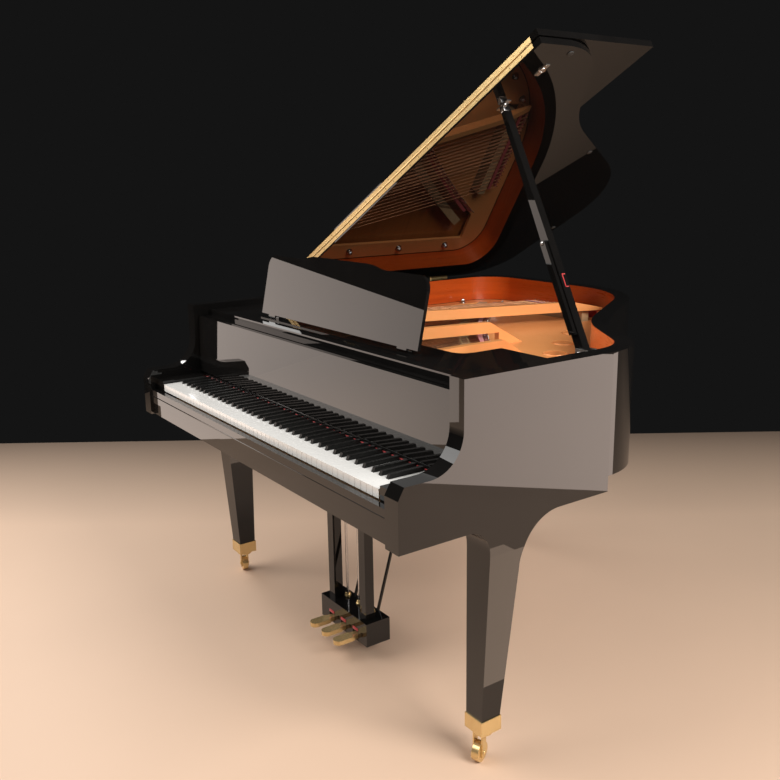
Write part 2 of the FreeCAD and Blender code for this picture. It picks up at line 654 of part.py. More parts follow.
def make_plate():
    subpart("pin_block", [block(("rim_wall - case_width / 2", "block_front", "block_bottom"),
                                ("case_width - 2 * rim_wall", "block_back - block_front",
                                 "block_top - block_bottom"))])
    inset = s.rim_wall + s.plate_gap
    pieces = [padded(plate_web(inset), "block_top", "plate_thickness")]
    floor = s.block_top + s.plate_thickness
    low = s.strut_belly
    step = s.damper_depth + s.damper_pass
    front = s.plate_web_back - s.lug_length
    lug_middle = s.plate_web_back - s.lug_length / 2
    lines = [(break_notes[octave], lean) for octave, lean in zip(strut_octave_counts, strut_lean_shares)]
    lines.append((bass_count - 1, choirs[bass_count - 1].slope))
    for note, lean in lines:
        near = (choirs[note].at(lug_middle) + choirs[note + 1].at(lug_middle)) / 2
        lugs = [(near, front, "strut_bottom")]
        if choirs[note].bass:
            back = bass_bridge_depth + s.bridge_width + s.bass_opening_margin
            end = back + s.lug_length
            heel = [(end, low), (end, low + s.strut_end_height)]
            lugs.append((near + lean * (back - front), back, "strut_belly"))
        else:
            inner = s.hitch_inset + s.hitch_clearance
            back = hitch_depth(near + lean * (s.strike_depth - front), lean, inner)
            end = back + s.strut_foot
            heel = [(back, low), (back, floor), (end, floor)]
        toe = [(front, s.strut_bottom), (step, s.strut_bottom), (step, low)]
        profile = toe + heel + [(end - s.strut_slope, s.strut_top), (front, s.strut_top)]
        pieces.append(feature([strut(near, lean, profile)]))
        for x, y, top in lugs:
            plan = rectangle(x - s.lug_width / 2, y, x + s.lug_width / 2, y + s.lug_length)
            pieces.append(padded(plan, "block_top + plate_thickness", f"{top} - block_top - plate_thickness"))
    subpart("cast_iron_plate", pieces)
    reach = inset + s.bolt_inset
    places = [polar(bend_centre, s.bend_radius - reach, share * s.bend_turn) for share in round_bolt_shares]
    tail_turn = 180 - last_heading
    places += [polar(tail_centre, s.tail_radius - reach, last_heading - 90 + share * tail_turn)
               for share in round_bolt_shares]
    places += [(reach - half, share * case_depth) for share in side_bolt_shares]
    bolts = []
    board_top = s.soundboard_seat + s.soundboard_thickness
    for x, y in places:
        bolts.append(Part.makeCylinder(s.bolt_radius, s.bolt_height,
                                       Vector(x, y, s.block_top + s.plate_thickness)))
        bolts.append(Part.makeCylinder(s.bolt_radius, s.block_top - board_top, Vector(x, y, board_top)))
    subpart("plate_bolts", [feature(bolts)])


def make_bridges():
    near = hitch_arc.Radius + s.bridge_offset
    far = near + s.bridge_width
    angles = [math.degrees(math.atan2(point.y - hitch_centre[1], point.x - hitch_centre[0])) % 360
              for point in (hitch_points[2], hitch_points[0])]
    low, high = (angles[0] + share * (angles[1] - angles[0]) for share in bridge_shares)
    ends = [segment(polar(hitch_centre, near, angle), polar(hitch_centre, far, angle))
            for angle in (low, high)]
    long_bridge = padded([arc(hitch_centre, near, low, high), arc(hitch_centre, far, low, high)] + ends,
                         "soundboard_seat + soundboard_thickness",
                         "string_height - plain_radius - bridge_clearance - soundboard_seat - soundboard_thickness")
    bass_plan = rectangle(bass_bridge_left, bass_bridge_depth, bass_bridge_right,
                          bass_bridge_depth + s.bridge_width)
    bass_bridge = padded(bass_plan, "soundboard_seat + soundboard_thickness",
                         "bass_height - wound_radius - bridge_clearance - soundboard_seat - soundboard_thickness")
    subpart("bridges", [long_bridge, bass_bridge])


# Each damper wire passes beside its own strings, on the side away from the gap.
def make_dampers():
    damped = choirs[:damped_count]
    front = s.damper_depth - s.damper_length / 2
    rail_top = s.damper_rail_bottom + s.damper_rail_height
    low, high = (choir.at(s.damper_depth) for choir in (damped[0], damped[-1]))
    pieces = [Part.makeBox(high - low + 2 * s.damper_width, s.damper_rail_depth, s.damper_rail_height,
                           Vector(low - s.damper_width, s.damper_depth - s.damper_rail_depth / 2,
                                  s.damper_rail_bottom))]
    for choir in damped:
        x = choir.at(s.damper_depth)
        bottom = choir.height + choir.radius + s.damper_gap
        side = -1 if choir.bass else 1
        wire = Vector(x + side * (s.damper_width / 2 - s.damper_wire_radius), s.damper_depth, rail_top)
        pieces.append(Part.makeBox(s.damper_width, s.damper_length, s.damper_height,
                                   Vector(x - s.damper_width / 2, front, bottom)))
        pieces.append(Part.makeCylinder(s.damper_wire_radius, bottom - rail_top, wire))
    subpart("dampers", [feature(pieces)])


def make_lid():
    panel = case_area(0, s.flap_line + s.strip_gap + s.strip_thickness)
    subpart("lid_main", [padded(panel, "rim_top + lid_gap", "lid_thickness")], lid_pose)
    flap_back = s.flap_line - s.strip_gap - s.strip_thickness
    flap = rectangle(-half, flap_back - s.flap_depth, half, flap_back)
    subpart("lid_flap", [padded(flap, "rim_top + lid_gap", "lid_thickness")], flap_pose)


# The long hinge has two leaves with every second knuckle each. The lid's leaf carries the pin.
def strip_leaf(side, owner):
    bottom = "rim_top + lid_gap + lid_thickness - strip_width"
    front = "flap_line + strip_gap" if side > 0 else "flap_line - strip_gap - strip_thickness"
    axis_z = "rim_top + lid_gap + lid_thickness + strip_step + strip_barrel_radius"
    left = "strip_end - case_width / 2"
    long = "case_width - 2 * strip_end"
    pieces = [block((left, front, bottom), (long, "strip_thickness", "strip_width - strip_step"))]
    count = int(2 * (half - s.strip_end) / s.strip_knuckle)
    for place in range(owner, count, 2):
        start = f"{left} + {place} * strip_knuckle + knuckle_gap / 2"
        length = "strip_knuckle - knuckle_gap"
        tab = block((start, front, f"{bottom} + strip_width - strip_step"),
                    (length, "strip_thickness", "2 * strip_step + strip_barrel_radius"))
        pieces += [tab, rod("strip_barrel_radius", length, (start, "flap_line", axis_z), "x")]
    leaf = fused(*pieces)
    if owner == 0:
        return fused(leaf, rod("strip_pin_radius", long, (left, "flap_line", axis_z), "x"))
    return trimmed(leaf, rod("strip_pin_radius + pin_clearance", long, (left, "flap_line", axis_z), "x"))


# On each side hinge the rim's leaf has the two outer knuckles and the pin.
def butt(depth, on_lid):
    x = "-case_width / 2 - butt_leaf"
    axis_x = "-case_width / 2 - butt_offset"
    axis_z = "rim_top + butt_rise"
    start = f"{depth} - butt_length / 2"
    plate_bottom = f"{axis_z} + butt_step" if on_lid else f"{axis_z} - butt_step - butt_height"
    plate_height = "lid_thickness + lid_gap - butt_rise - butt_step" if on_lid else "butt_height"
    pieces = [block((x, start, plate_bottom), ("butt_leaf", "butt_length", plate_height))]
    middle = f"{depth} - butt_knuckle / 2"
    outer = "(butt_length - butt_knuckle) / 2 - knuckle_gap"
    spans = [(middle, "butt_knuckle")] if on_lid else [(start, outer),
                                                        (f"{depth} + butt_knuckle / 2 + knuckle_gap", outer)]
    for front, length in spans:
        tab_bottom = axis_z if on_lid else f"{axis_z} - butt_step"
        pieces.append(block((x, front, tab_bottom), ("butt_leaf", length, "butt_step")))
        pieces.append(rod("butt_radius", length, (axis_x, front, axis_z), "y"))
    if on_lid:
        hole = rod("butt_pin_radius + pin_clearance", "butt_length", (axis_x, start, axis_z), "y")
        return trimmed(fused(*pieces), hole)
    return fused(*pieces, rod("butt_pin_radius", "butt_length", (axis_x, start, axis_z), "y"))


# Points under the open lid go by their distance from its bass edge.
def on_lid(reach, depth, below):
    return lid_pose.multVec(Vector(reach - half, depth, lid_bottom - below))


def make_lid_fittings():
    cups = []
    for place in range(2):
        reach = prop_lid_reach + place * s.cup_pitch
        plate = Part.makeBox(s.cup_plate_length, s.cup_plate_width, s.cup_thickness,
                             Vector(reach - half - s.cup_plate_length / 2,
                                    s.prop_lid_depth - s.cup_plate_width / 2,
                                    lid_bottom - s.cup_thickness))
        disc = Part.makeCylinder(s.cup_radius, s.cup_thickness,
                                 Vector(reach - half, s.prop_lid_depth, lid_bottom - s.cup_thickness))
        cups.append(plate.fuse(disc).removeSplitter())
    subpart("lid_fittings", [butt("butt_front", True), butt("butt_back", True), strip_leaf(1, 0),
                             feature(cups)],
            lid_pose)
    subpart("flap_hinge_leaf", [strip_leaf(-1, 1)], flap_pose)


# The long prop stands in its cup. Its own frame has the pivot at the origin and the tip up its Z axis.
prop_foot = Vector(inner_half - s.prop_inset, s.prop_y, s.prop_z)
prop_tip = on_lid(prop_lid_reach, s.prop_lid_depth, s.prop_gap)
prop_run = prop_tip - prop_foot
prop_pose = Placement(prop_foot, Rotation(Vector(), Vector(0, 1, 0), prop_run, "ZYX"))


def make_props():
    length = prop_run.Length
    outline = [(-s.prop_width / 2, 0), (-s.prop_width / 2, s.short_prop_start),
               (-s.prop_tip_width / 2, length),
               (s.prop_tip_width / 2, length), (s.prop_width / 2, s.short_prop_start), (s.prop_width / 2, 0)]
    stick = padded(polygon(outline), "-prop_depth / 2", "prop_depth", "XZ_Plane")
    foot = rod("prop_width / 2", "prop_depth", ("0", "-prop_depth / 2", "0"), "y")
    bore = rod("prop_pin_radius + pin_clearance", "prop_depth + 2 * overrun",
               ("0", "-prop_depth / 2 - overrun", "0"), "y")
    knuckle = rod("short_pin_radius", "short_prop_depth + short_prop_gap + prop_depth / 2",
                  ("0", "-prop_depth / 2 - short_prop_gap - short_prop_depth", "short_prop_start"), "y")
    subpart("lid_prop", [fused(trimmed(fused(stick, foot), bore), knuckle)], prop_pose)
    bar = block(("-short_prop_width / 2", "-prop_depth / 2 - short_prop_gap - short_prop_depth",
                 "short_prop_start - short_prop_length"),
                 ("short_prop_width", "short_prop_depth", "short_prop_length"))
    head = rod("short_prop_width / 2", "short_prop_depth",
               ("0", "-prop_depth / 2 - short_prop_gap - short_prop_depth", "short_prop_start"), "y")
    eye = rod("short_pin_radius + pin_clearance", "prop_depth + 2 * overrun",
              ("0", "-prop_depth / 2 - overrun", "short_prop_start"), "y")
    subpart("short_prop", [trimmed(fused(bar, head), eye)], prop_pose)


def make_rim_fittings():
    lugs = []
    for side in (-1, 1):
        near = f"prop_y + {side} * (prop_depth / 2 + prop_lug_gap + prop_lug_wall / 2) - prop_lug_wall / 2"
        lugs.append(block(("prop_x - prop_lug_width / 2", near, "prop_z - prop_lug_height"),
                          ("case_width / 2 - rim_wall - prop_x + prop_lug_width / 2", "prop_lug_wall",
                           "prop_lug_height + prop_foot_radius")))
    span = "prop_depth + 2 * prop_lug_gap + 2 * prop_lug_wall"
    reach = s.prop_depth / 2 + s.prop_lug_gap + s.prop_lug_wall
    across = prop_pose.Rotation.multVec(Vector(0, 1, 0))
    pin = feature([Part.makeCylinder(s.prop_pin_radius, 2 * reach, prop_foot - across * reach, across)])
    back = block(("case_width / 2 - rim_wall - prop_lug_wall", f"prop_y - ({span}) / 2",
                  "prop_z - prop_lug_height"),
                 ("prop_lug_wall", span, "prop_lug_height - prop_foot_radius - prop_lug_gap"))
    subpart("rim_fittings", [butt("butt_front", False), butt("butt_back", False), fused(*lugs, pin, back)])


def make_shelf():
    wing = s.shelf_wing_inner
    turn = s.shelf_corner
    back = s.shelf_back
    edges = [segment((-inner_half, s.shelf_front), (inner_half, s.shelf_front)),
             segment((inner_half, s.shelf_front), (inner_half, s.shelf_wing_back)),
             segment((-inner_half, s.shelf_wing_back), (-inner_half, s.shelf_front)),
             segment((turn - wing, back), (wing - turn, back))]
    for side, start in ((1, -90), (-1, 180)):
        edges += [segment((side * inner_half, s.shelf_wing_back), (side * wing, s.shelf_wing_back)),
                  segment((side * wing, s.shelf_wing_back), (side * wing, back + turn)),
                  arc((side * (wing - turn), back + turn), turn, start, start + 90)]
    subpart("music_shelf", [padded(edges, "shelf_top - shelf_thickness", "shelf_thickness")])


desk_pose = Placement(Vector(0, s.desk_hinge_y, s.desk_hinge_z), Rotation(Vector(1, 0, 0), -s.desk_tilt))


def make_desk():
    tray = block(("-tray_width / 2", "tray_front", "shelf_top"),
                 ("tray_width", "tray_depth", "tray_thickness"))
    stands = []
    panel_knuckles = []
    knuckle_base = ("desk_knuckle_radius", "desk_knuckle_length")
    for side in (-1, 1):
        middle = f"{side} * desk_knuckle_spread"
        near = f"{middle} - desk_knuckle_length / 2"
        stands.append(block((f"{middle} + desk_knuckle_length / 2 + knuckle_gap",
                             "desk_hinge_y - desk_pin_radius",
                             "shelf_top + tray_thickness"),
                            ("desk_knuckle_length / 2", "2 * desk_pin_radius",
                             "desk_hinge_z - shelf_top - tray_thickness")))
        stands.append(rod("desk_pin_radius", "desk_knuckle_length * 3 / 2 + knuckle_gap",
                          (near, "desk_hinge_y", "desk_hinge_z"),
                          "x"))
        panel_knuckles.append(rod(*knuckle_base, (near, "0", "0"), "x"))
    subpart("music_tray", [fused(tray, *stands)])
    side = s.desk_width / 2
    foot = s.desk_knuckle_radius
    corner = s.desk_corner
    shoulder = s.desk_shoulder
    crest = shoulder + s.desk_rise
    flat = s.desk_crest_half
    # Each shoulder climbs to the crest by two equal arcs that bend opposite ways.
    half_run = s.desk_sweep / 2
    half_rise = s.desk_rise / 2
    swing = (half_run ** 2 + half_rise ** 2) / (2 * half_rise)
    turn = math.degrees(math.asin(half_run / swing))
    edges = [segment((-side, foot), (side, foot)), segment((side, foot), (side, shoulder - corner)),
             segment((-side, shoulder - corner), (-side, foot)), segment((-flat, crest), (flat, crest)),
             arc((side - corner, shoulder - corner), corner, 0, 90),
             arc((corner - side, shoulder - corner), corner, 90, 180),
             arc((flat, crest - swing), swing, 90 - turn, 90),
             arc((-flat, crest - swing), swing, 90, 90 + turn),
             arc((flat + s.desk_sweep, shoulder + swing), swing, 270 - turn, 270),
             arc((-flat - s.desk_sweep, shoulder + swing), swing, 270, 270 + turn),
             segment((flat + s.desk_sweep, shoulder), (side - corner, shoulder)),
             segment((corner - side, shoulder), (-flat - s.desk_sweep, shoulder))]
    panel = padded(edges, "-desk_thickness / 2", "desk_thickness", "XZ_Plane")
    webs = [block((f"{place} * desk_knuckle_spread - desk_knuckle_length / 2", "-desk_thickness / 2", "0"),
                  ("desk_knuckle_length", "desk_thickness",
                   "desk_knuckle_radius + knuckle_gap")) for place in (-1, 1)]
    bores = [rod("desk_pin_radius + pin_clearance", "desk_knuckle_length + 2 * overrun",
                 (f"{place} * desk_knuckle_spread - desk_knuckle_length / 2 - overrun", "0", "0"),
                 "x") for place in (-1, 1)]
    subpart("music_desk", [trimmed(fused(panel, *webs, *panel_knuckles), *bores)], desk_pose)


fallboard_pose = Placement(Vector(), Rotation(Vector(1, 0, 0), -s.fallboard_angle),
                           Vector(0, s.fallboard_y, s.fallboard_z))


def make_fallboard():
    reach = "case_width / 2 - rim_wall - fallboard_end_gap"
    board = block((f"-({reach})", "fallboard_y - fallboard_height", "fallboard_z - fallboard_thickness / 2"),
                  (f"2 * ({reach})", "fallboard_height + fallboard_heel", "fallboard_thickness"))
    pin_end = f"({reach}) + fallboard_end_gap + fallboard_pin - knuckle_gap"
    pin = rod("fallboard_pin_radius", f"2 * ({pin_end})", (f"-({pin_end})", "fallboard_y", "fallboard_z"),
              "x")
    subpart("fallboard", [fused(board, pin)], fallboard_pose)


# Legs. Their side view and front view are padded across each other, and what both share is kept.
def tapered_leg(outer, inner, foot_outer, foot_inner, middle_y, top, back_fillet, front_view_depth):
    reach = s.leg_top_depth / 2
    foot = s.leg_foot_size / 2
    front_fillet = s.leg_front_fillet
    front = middle_y - reach
    back = middle_y + reach
    side_view = [
        segment((front - front_fillet, top), (back + back_fillet, top)),
        arc((front - front_fillet, top - front_fillet), front_fillet, 0, 90),
        segment((front, top - front_fillet), (middle_y - foot, s.leg_foot_z)),
        segment((middle_y - foot, s.leg_foot_z), (middle_y + foot, s.leg_foot_z)),
        segment((middle_y + foot, s.leg_foot_z), (back, top - back_fillet)),
        arc((back + back_fillet, top - back_fillet), back_fillet, 90, 180),
    ]
    front_view = polygon([(outer, top), (outer, top - s.leg_shoulder), (foot_outer, s.leg_foot_z),
                          (foot_inner, s.leg_foot_z), (inner, top - s.leg_shoulder), (inner, top)])
    return shared(padded(side_view, "-case_width / 2", "case_width", "YZ_Plane"),
                  padded(front_view, f"-({front_view_depth})", "case_width", "XZ_Plane"))


def stem_bore(x, y):
    return rod("stem_radius + pin_clearance", "stem_length + stem_end_gap",
               (x, y, "ferrule_bottom - fork_drop"))


foot_middle = half - s.leg_foot_inset - s.leg_foot_size / 2


def make_legs():
    foot_outer = half - s.leg_foot_inset
    right = tapered_leg(half, half - s.leg_top_width, foot_outer, foot_outer - s.leg_foot_size, s.leg_y,
                        s.keybed_bottom, s.leg_back_fillet, "case_width")
    right = trimmed(right, stem_bore("case_width / 2 - leg_foot_inset - leg_foot_size / 2", "leg_y"))
    subpart("front_right_leg", [right])
    subpart("front_left_leg", [mirrored(right)])
    top = s.rim_bottom - s.leg_plate_thickness
    reach = s.leg_top_depth / 2
    foot = s.leg_foot_size / 2
    rear = tapered_leg(s.rear_leg_x + reach, s.rear_leg_x - reach, s.rear_leg_x + foot, s.rear_leg_x - foot,
                       s.rear_leg_y, top, s.leg_front_fillet, "rear_leg_y + case_width / 2")
    subpart("rear_leg", [trimmed(rear, stem_bore("rear_leg_x", "rear_leg_y"))])
    middle = "case_width / 2 - leg_foot_inset - leg_foot_size / 2"
    ferrules = []
    for x, y in ((middle, "leg_y"), (f"-({middle})", "leg_y"), ("rear_leg_x", "rear_leg_y")):
        cap = block((f"{x} - ferrule_size / 2", f"{y} - ferrule_size / 2", "ferrule_bottom"),
                    ("ferrule_size", "ferrule_size", "leg_foot_z - ferrule_bottom"))
        ferrules.append(trimmed(cap, stem_bore(x, y)))
    subpart("leg_ferrules", ferrules)


def make_casters():
    places = {"front_right": (foot_middle, s.leg_y, s.front_right_swivel),
              "front_left": (-foot_middle, s.leg_y, s.front_left_swivel),
              "rear": (s.rear_leg_x, s.rear_leg_y, s.rear_swivel)}
    plate_bottom = "ferrule_bottom - fork_drop - fork_plate_height"
    for name, (x, y, swivel) in places.items():
        pose = Placement(Vector(x, y, 0), Rotation(Vector(0, 0, 1), swivel))
        outer = "wheel_width / 2 + fork_gap + fork_wall"
        cheeks = [block((left, "trail - fork_overlap", "fork_bottom"),
                        ("fork_wall", "2 * fork_overlap", f"{plate_bottom} - fork_bottom"))
                  for left in (f"-({outer})", "wheel_width / 2 + fork_gap")]
        plate = rod("fork_plate_radius", "fork_plate_height", ("0", "0", plate_bottom))
        saddle = block((f"-({outer})", "trail - fork_overlap", plate_bottom),
                       (f"2 * ({outer})", "2 * fork_overlap", "fork_plate_height"))
        stem = rod("stem_radius", "stem_length + fork_plate_height", ("0", "0", plate_bottom))
        axle = rod("axle_radius", f"2 * ({outer})", (f"-({outer})", "trail", "wheel_radius"), "x")
        subpart(f"{name}_caster_fork", [fused(*cheeks, plate, saddle, stem, axle)], pose)
        disc = rod("wheel_radius", "wheel_width", ("-wheel_width / 2", "trail", "wheel_radius"), "x")
        hole = rod("axle_radius + pin_clearance", "wheel_width + 2 * overrun",
                   ("-wheel_width / 2 - overrun", "trail", "wheel_radius"), "x")
        subpart(f"{name}_caster_wheel", [trimmed(disc, hole)], pose)


def make_lyre():
    box = block(("-pedal_box_width / 2", "pedal_box_front", "pedal_box_bottom"),
                ("pedal_box_width", "pedal_box_depth", "pedal_box_top - pedal_box_bottom"))
    cuts = [rod("pedal_pin_radius + pin_clearance",
                "2 * pedal_pitch + 2 * pedal_pin_reach + 2 * knuckle_gap",
                ("-pedal_pitch - pedal_pin_reach - knuckle_gap", "pedal_pivot",
                 "pedal_bottom + pedal_height / 2"), "x")]
    names = ("soft", "sostenuto", "sustain")
    for place, name in zip((-1, 0, 1), names):
        x = f"{place} * pedal_pitch"
        cuts.append(block((f"{x} - pedal_slot_width / 2", "pedal_box_front - overrun", "pedal_slot_bottom"),
                          ("pedal_slot_width", "pedal_slot_back - pedal_box_front + overrun",
                           "pedal_slot_top - pedal_slot_bottom")))
        cuts.append(rod("rod_radius + rod_hole_clearance", "pedal_box_top - pedal_slot_top + 2 * overrun",
                        (x, "rod_y", "pedal_slot_top - overrun")))
        lever = block((f"{x} - pedal_width / 2", "pedal_front + pedal_toe_length", "pedal_bottom"),
                      ("pedal_width", "pedal_back - pedal_front - pedal_toe_length", "pedal_height"))
        toe = rod("pedal_toe_width / 2", "pedal_height",
                  (x, "pedal_front + pedal_toe_width / 2", "pedal_bottom"))
        neck = block((f"{x} - pedal_toe_width / 2", "pedal_front + pedal_toe_width / 2", "pedal_bottom"),
                     ("pedal_toe_width", "pedal_toe_length - pedal_toe_width / 2", "pedal_height"))
        pin = rod("pedal_pin_radius", "2 * pedal_pin_reach", (f"{x} - pedal_pin_reach", "pedal_pivot",
                                                              "pedal_bottom + pedal_height / 2"), "x")
        subpart(f"{name}_pedal", [fused(lever, toe, neck, pin)])
        subpart(f"{name}_rod", [rod("rod_radius", "rod_top - pedal_bottom - pedal_height - knuckle_gap",
                                    (x, "rod_y", "pedal_bottom + pedal_height + knuckle_gap"))])
    post = block(("lyre_post_x - lyre_post_size / 2", "lyre_post_y", "pedal_box_top"),
                 ("lyre_post_size", "lyre_post_size", "keybed_bottom - lyre_head_height - pedal_box_top"))
    head = block(("-lyre_head_width / 2", "pedal_box_front", "keybed_bottom - lyre_head_height"),
                 ("lyre_head_width", "pedal_box_depth", "lyre_head_height"))
    holes = [rod("rod_radius + rod_hole_clearance", "lyre_head_height + 2 * overrun",
                 (f"{place} * pedal_pitch", "rod_y",
                  "keybed_bottom - lyre_head_height - overrun")) for place in (-1, 0, 1)]
    foot = Vector(s.brace_x, s.pedal_box_front + s.pedal_box_depth, s.brace_low_z)
    run = Vector(s.brace_x, s.brace_back, s.keybed_bottom) - foot
    brace = Part.makeCylinder(s.brace_radius, run.Length + s.overrun * 2, foot - run.normalize() * s.overrun,
                              run)
    room = Part.makeBox(2 * half, s.brace_back, s.keybed_bottom,
                        Vector(-half, s.pedal_box_front + s.pedal_box_depth, 0))
    braces = feature([brace.common(room)])
    subpart("lyre", [trimmed(box, *cuts), post, mirrored(post), trimmed(head, *holes), braces,
                     mirrored(braces)])


make_case()
make_posts()
make_soundboard()
make_plate()
make_bridges()
make_strings()
make_dampers()
make_key_frame()
make_keys()
make_action()
make_lid()
make_lid_fittings()
make_props()
make_rim_fittings()
make_shelf()
make_desk()
make_fallboard()
make_legs()
make_casters()
make_lyre()
doc.recompute()

for item in doc.Objects:
    if "Invalid" in item.State or "Error" in item.State:
        raise RuntimeError(f"{item.Name} ({item.Label}) failed: {item.State}")
for group in subparts:
    if group.Shape.isNull() or not group.Shape.isValid():
        raise RuntimeError(f"{group.Label} has no valid shape")
os.makedirs("parts", exist_ok=True)
for group in subparts:
    group.Shape.exportStep(f"parts/{group.Label}.step")
print(len(subparts), "sub-parts, origin at", in_frame.Base)
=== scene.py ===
import math
import random
import bmesh
import bpy
from mathutils import Matrix, Vector


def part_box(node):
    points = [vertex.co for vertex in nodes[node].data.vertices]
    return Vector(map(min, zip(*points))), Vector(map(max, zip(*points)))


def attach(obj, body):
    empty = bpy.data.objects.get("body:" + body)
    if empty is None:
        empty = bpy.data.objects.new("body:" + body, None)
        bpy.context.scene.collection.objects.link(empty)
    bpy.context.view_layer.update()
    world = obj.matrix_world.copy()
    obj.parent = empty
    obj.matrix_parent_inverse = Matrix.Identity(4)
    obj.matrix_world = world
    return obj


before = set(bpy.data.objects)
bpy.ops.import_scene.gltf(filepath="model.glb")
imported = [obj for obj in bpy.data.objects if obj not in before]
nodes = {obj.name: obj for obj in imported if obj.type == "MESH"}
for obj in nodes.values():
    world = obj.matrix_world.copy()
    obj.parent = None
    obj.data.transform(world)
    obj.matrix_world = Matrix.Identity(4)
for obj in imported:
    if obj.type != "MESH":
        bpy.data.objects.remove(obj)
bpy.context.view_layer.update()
random.seed(88)
rimLow, rimHigh = (Vector(corner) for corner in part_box("outer_rim"))
shift = Vector(((rimLow.x + rimHigh.x) / 2, rimLow.y, 0.0))  # keyboard middle and arm fronts
up = Vector((0, 0, 1))
print("frame loaded:", len(nodes), "nodes")


def at(x, y, z):  # a point of the piano's plan, in millimetres
    return Vector((x, y, z)) / 1000 + shift


class Wire:  # a socket that can be used in sums
    def __init__(self, sheet, socket):
        self.sheet = sheet
        self.socket = socket

    def join(self, operation, other, swap=False):
        pair = (other, self) if swap else (self, other)
        return self.sheet.node("ShaderNodeMath", {"operation": operation}, {0: pair[0], 1: pair[1]})

    def __add__(self, other):
        return self.join("ADD", other)

    def __sub__(self, other):
        return self.join("SUBTRACT", other)

    def __mul__(self, other):
        return self.join("MULTIPLY", other)

    def __gt__(self, other):
        return self.join("GREATER_THAN", other)

    def __lt__(self, other):
        return self.join("LESS_THAN", other)

    def __rsub__(self, other):
        return self.join("SUBTRACT", other, True)

    __radd__ = __add__
    __rmul__ = __mul__


class Sheet:  # a node tree, filled by one method
    def __init__(self, tree):
        self.tree = tree
        self.tree.nodes.clear()

    def node(self, kind, settings, sockets, output=0):
        item = self.tree.nodes.new(kind)
        for name, value in settings.items():
            if name == "stops":
                ramp = item.color_ramp
                while len(ramp.elements) < len(value):
                    ramp.elements.new(0.5)
                for element, (position, colour) in zip(ramp.elements, value):
                    element.position = position
                    element.color = (*colour, 1.0)
            else:
                setattr(item, name, value)
        for name, value in sockets.items():
            self.plug(item.inputs[name], value)
        return Wire(self, item.outputs[output]) if len(item.outputs) else item

    def plug(self, socket, value):
        if isinstance(value, Wire):
            self.tree.links.new(value.socket, socket)
        elif socket.type == "RGBA" and len(value) == 3:
            socket.default_value = (*value, 1.0)
        else:
            socket.default_value = value

    def larger(self, one, two):
        return self.node("ShaderNodeMath", {"operation": "MAXIMUM"}, {0: one, 1: two})


class Finish(Sheet):  # a material with one shader; fixed values go in by socket name
    def __init__(self, name, **fixed):
        self.material = bpy.data.materials.new(name)
        self.material.use_nodes = True
        super().__init__(self.material.node_tree)
        self.surface = self.node("ShaderNodeBsdfPrincipled", {}, {})
        self.node("ShaderNodeOutputMaterial", {}, {"Surface": self.surface})
        self.place = self.node("ShaderNodeTexCoord", {}, {}, "Object")
        for socket, value in fixed.items():
            self.feed(socket.replace("_", " "), value)

    def feed(self, socket, value):
        self.plug(self.surface.socket.node.inputs[socket], value)

    def noise(self, scale, detail=3.0, stretch=(1, 1, 1), rough=0.55):
        place = self.node("ShaderNodeVectorMath", {"operation": "MULTIPLY"}, {0: self.place, 1: stretch})
        values = {"Vector": place, "Scale": scale, "Detail": detail, "Roughness": rough}
        return self.node("ShaderNodeTexNoise", {}, values)

    def blend(self, mask, low, high):
        return self.node("ShaderNodeMix", {"data_type": "RGBA"}, {0: mask, 6: low, 7: high}, 2)

    def ramp(self, value, stops):
        return self.node("ShaderNodeValToRGB", {"stops": stops}, {0: value})

    def axis(self, letter):
        return self.node("ShaderNodeSeparateXYZ", {}, {0: self.place}, "XYZ".index(letter))

    def bump(self, height, strength, distance):
        values = {"Strength": strength, "Distance": distance, "Height": height}
        self.feed("Normal", self.node("ShaderNodeBump", {}, values))


blackLook = {"deep": (0.0035, 0.0033, 0.0032), "haze": (0.0080, 0.0074, 0.0070), "coatIor": 1.45,
             "coatRough": 0.012, "under": 0.0, "gloss": 0.03, "hazeScale": 9.0, "swirlScale": 60.0,
             "swirlWay": (1.0, 0.25, 0.6), "rippleScale": 420.0, "bump": (0.006, 0.0004)}


def blackPolish():  # polyester lacquer: deep black, faint buffing haze, hairline swirls
    finish = Finish("blackPolish", Coat_Weight=1.0, Coat_Roughness=blackLook["coatRough"],
                    Coat_IOR=blackLook["coatIor"], Specular_IOR_Level=blackLook["under"])
    haze = finish.noise(blackLook["hazeScale"], 4.0)
    swirl = finish.noise(blackLook["swirlScale"], 5.0, blackLook["swirlWay"])
    finish.feed("Base Color", finish.blend(haze, blackLook["deep"], blackLook["haze"]))
    finish.feed("Roughness", blackLook["gloss"] + 0.03 * haze + 0.02 * swirl)
    finish.bump(finish.noise(blackLook["rippleScale"], 2.0), *blackLook["bump"])
    return finish.material


grain = {"stretch": 0.06, "rings": 26.0, "pores": 240.0, "broad": 3.0, "poreShade": 0.35, "poreRough": 0.14,
         "varnishRough": 0.08, "bump": (0.08, 0.0005)}
woods = {  # light tone, dark tone, axes along the grain, roughness, fineness, varnish
    "rimVeneer": ((0.64, 0.095, 0.010), (0.40, 0.048, 0.005), "XY", 0.22, 0.9, 0.3),
    "beechRim": ((0.56, 0.32, 0.14), (0.40, 0.20, 0.08), "X", 0.35, 0.8, 0.5),
    "spruceBoard": ((0.46, 0.15, 0.035), (0.32, 0.09, 0.02), "X", 0.24, 1.6, 0.4),
    "sprucePosts": ((0.66, 0.46, 0.26), (0.50, 0.31, 0.15), "Y", 0.45, 1.0, 0.2),
    "mapleBridge": ((0.60, 0.40, 0.22), (0.46, 0.28, 0.13), "X", 0.35, 1.4, 0.3),
}


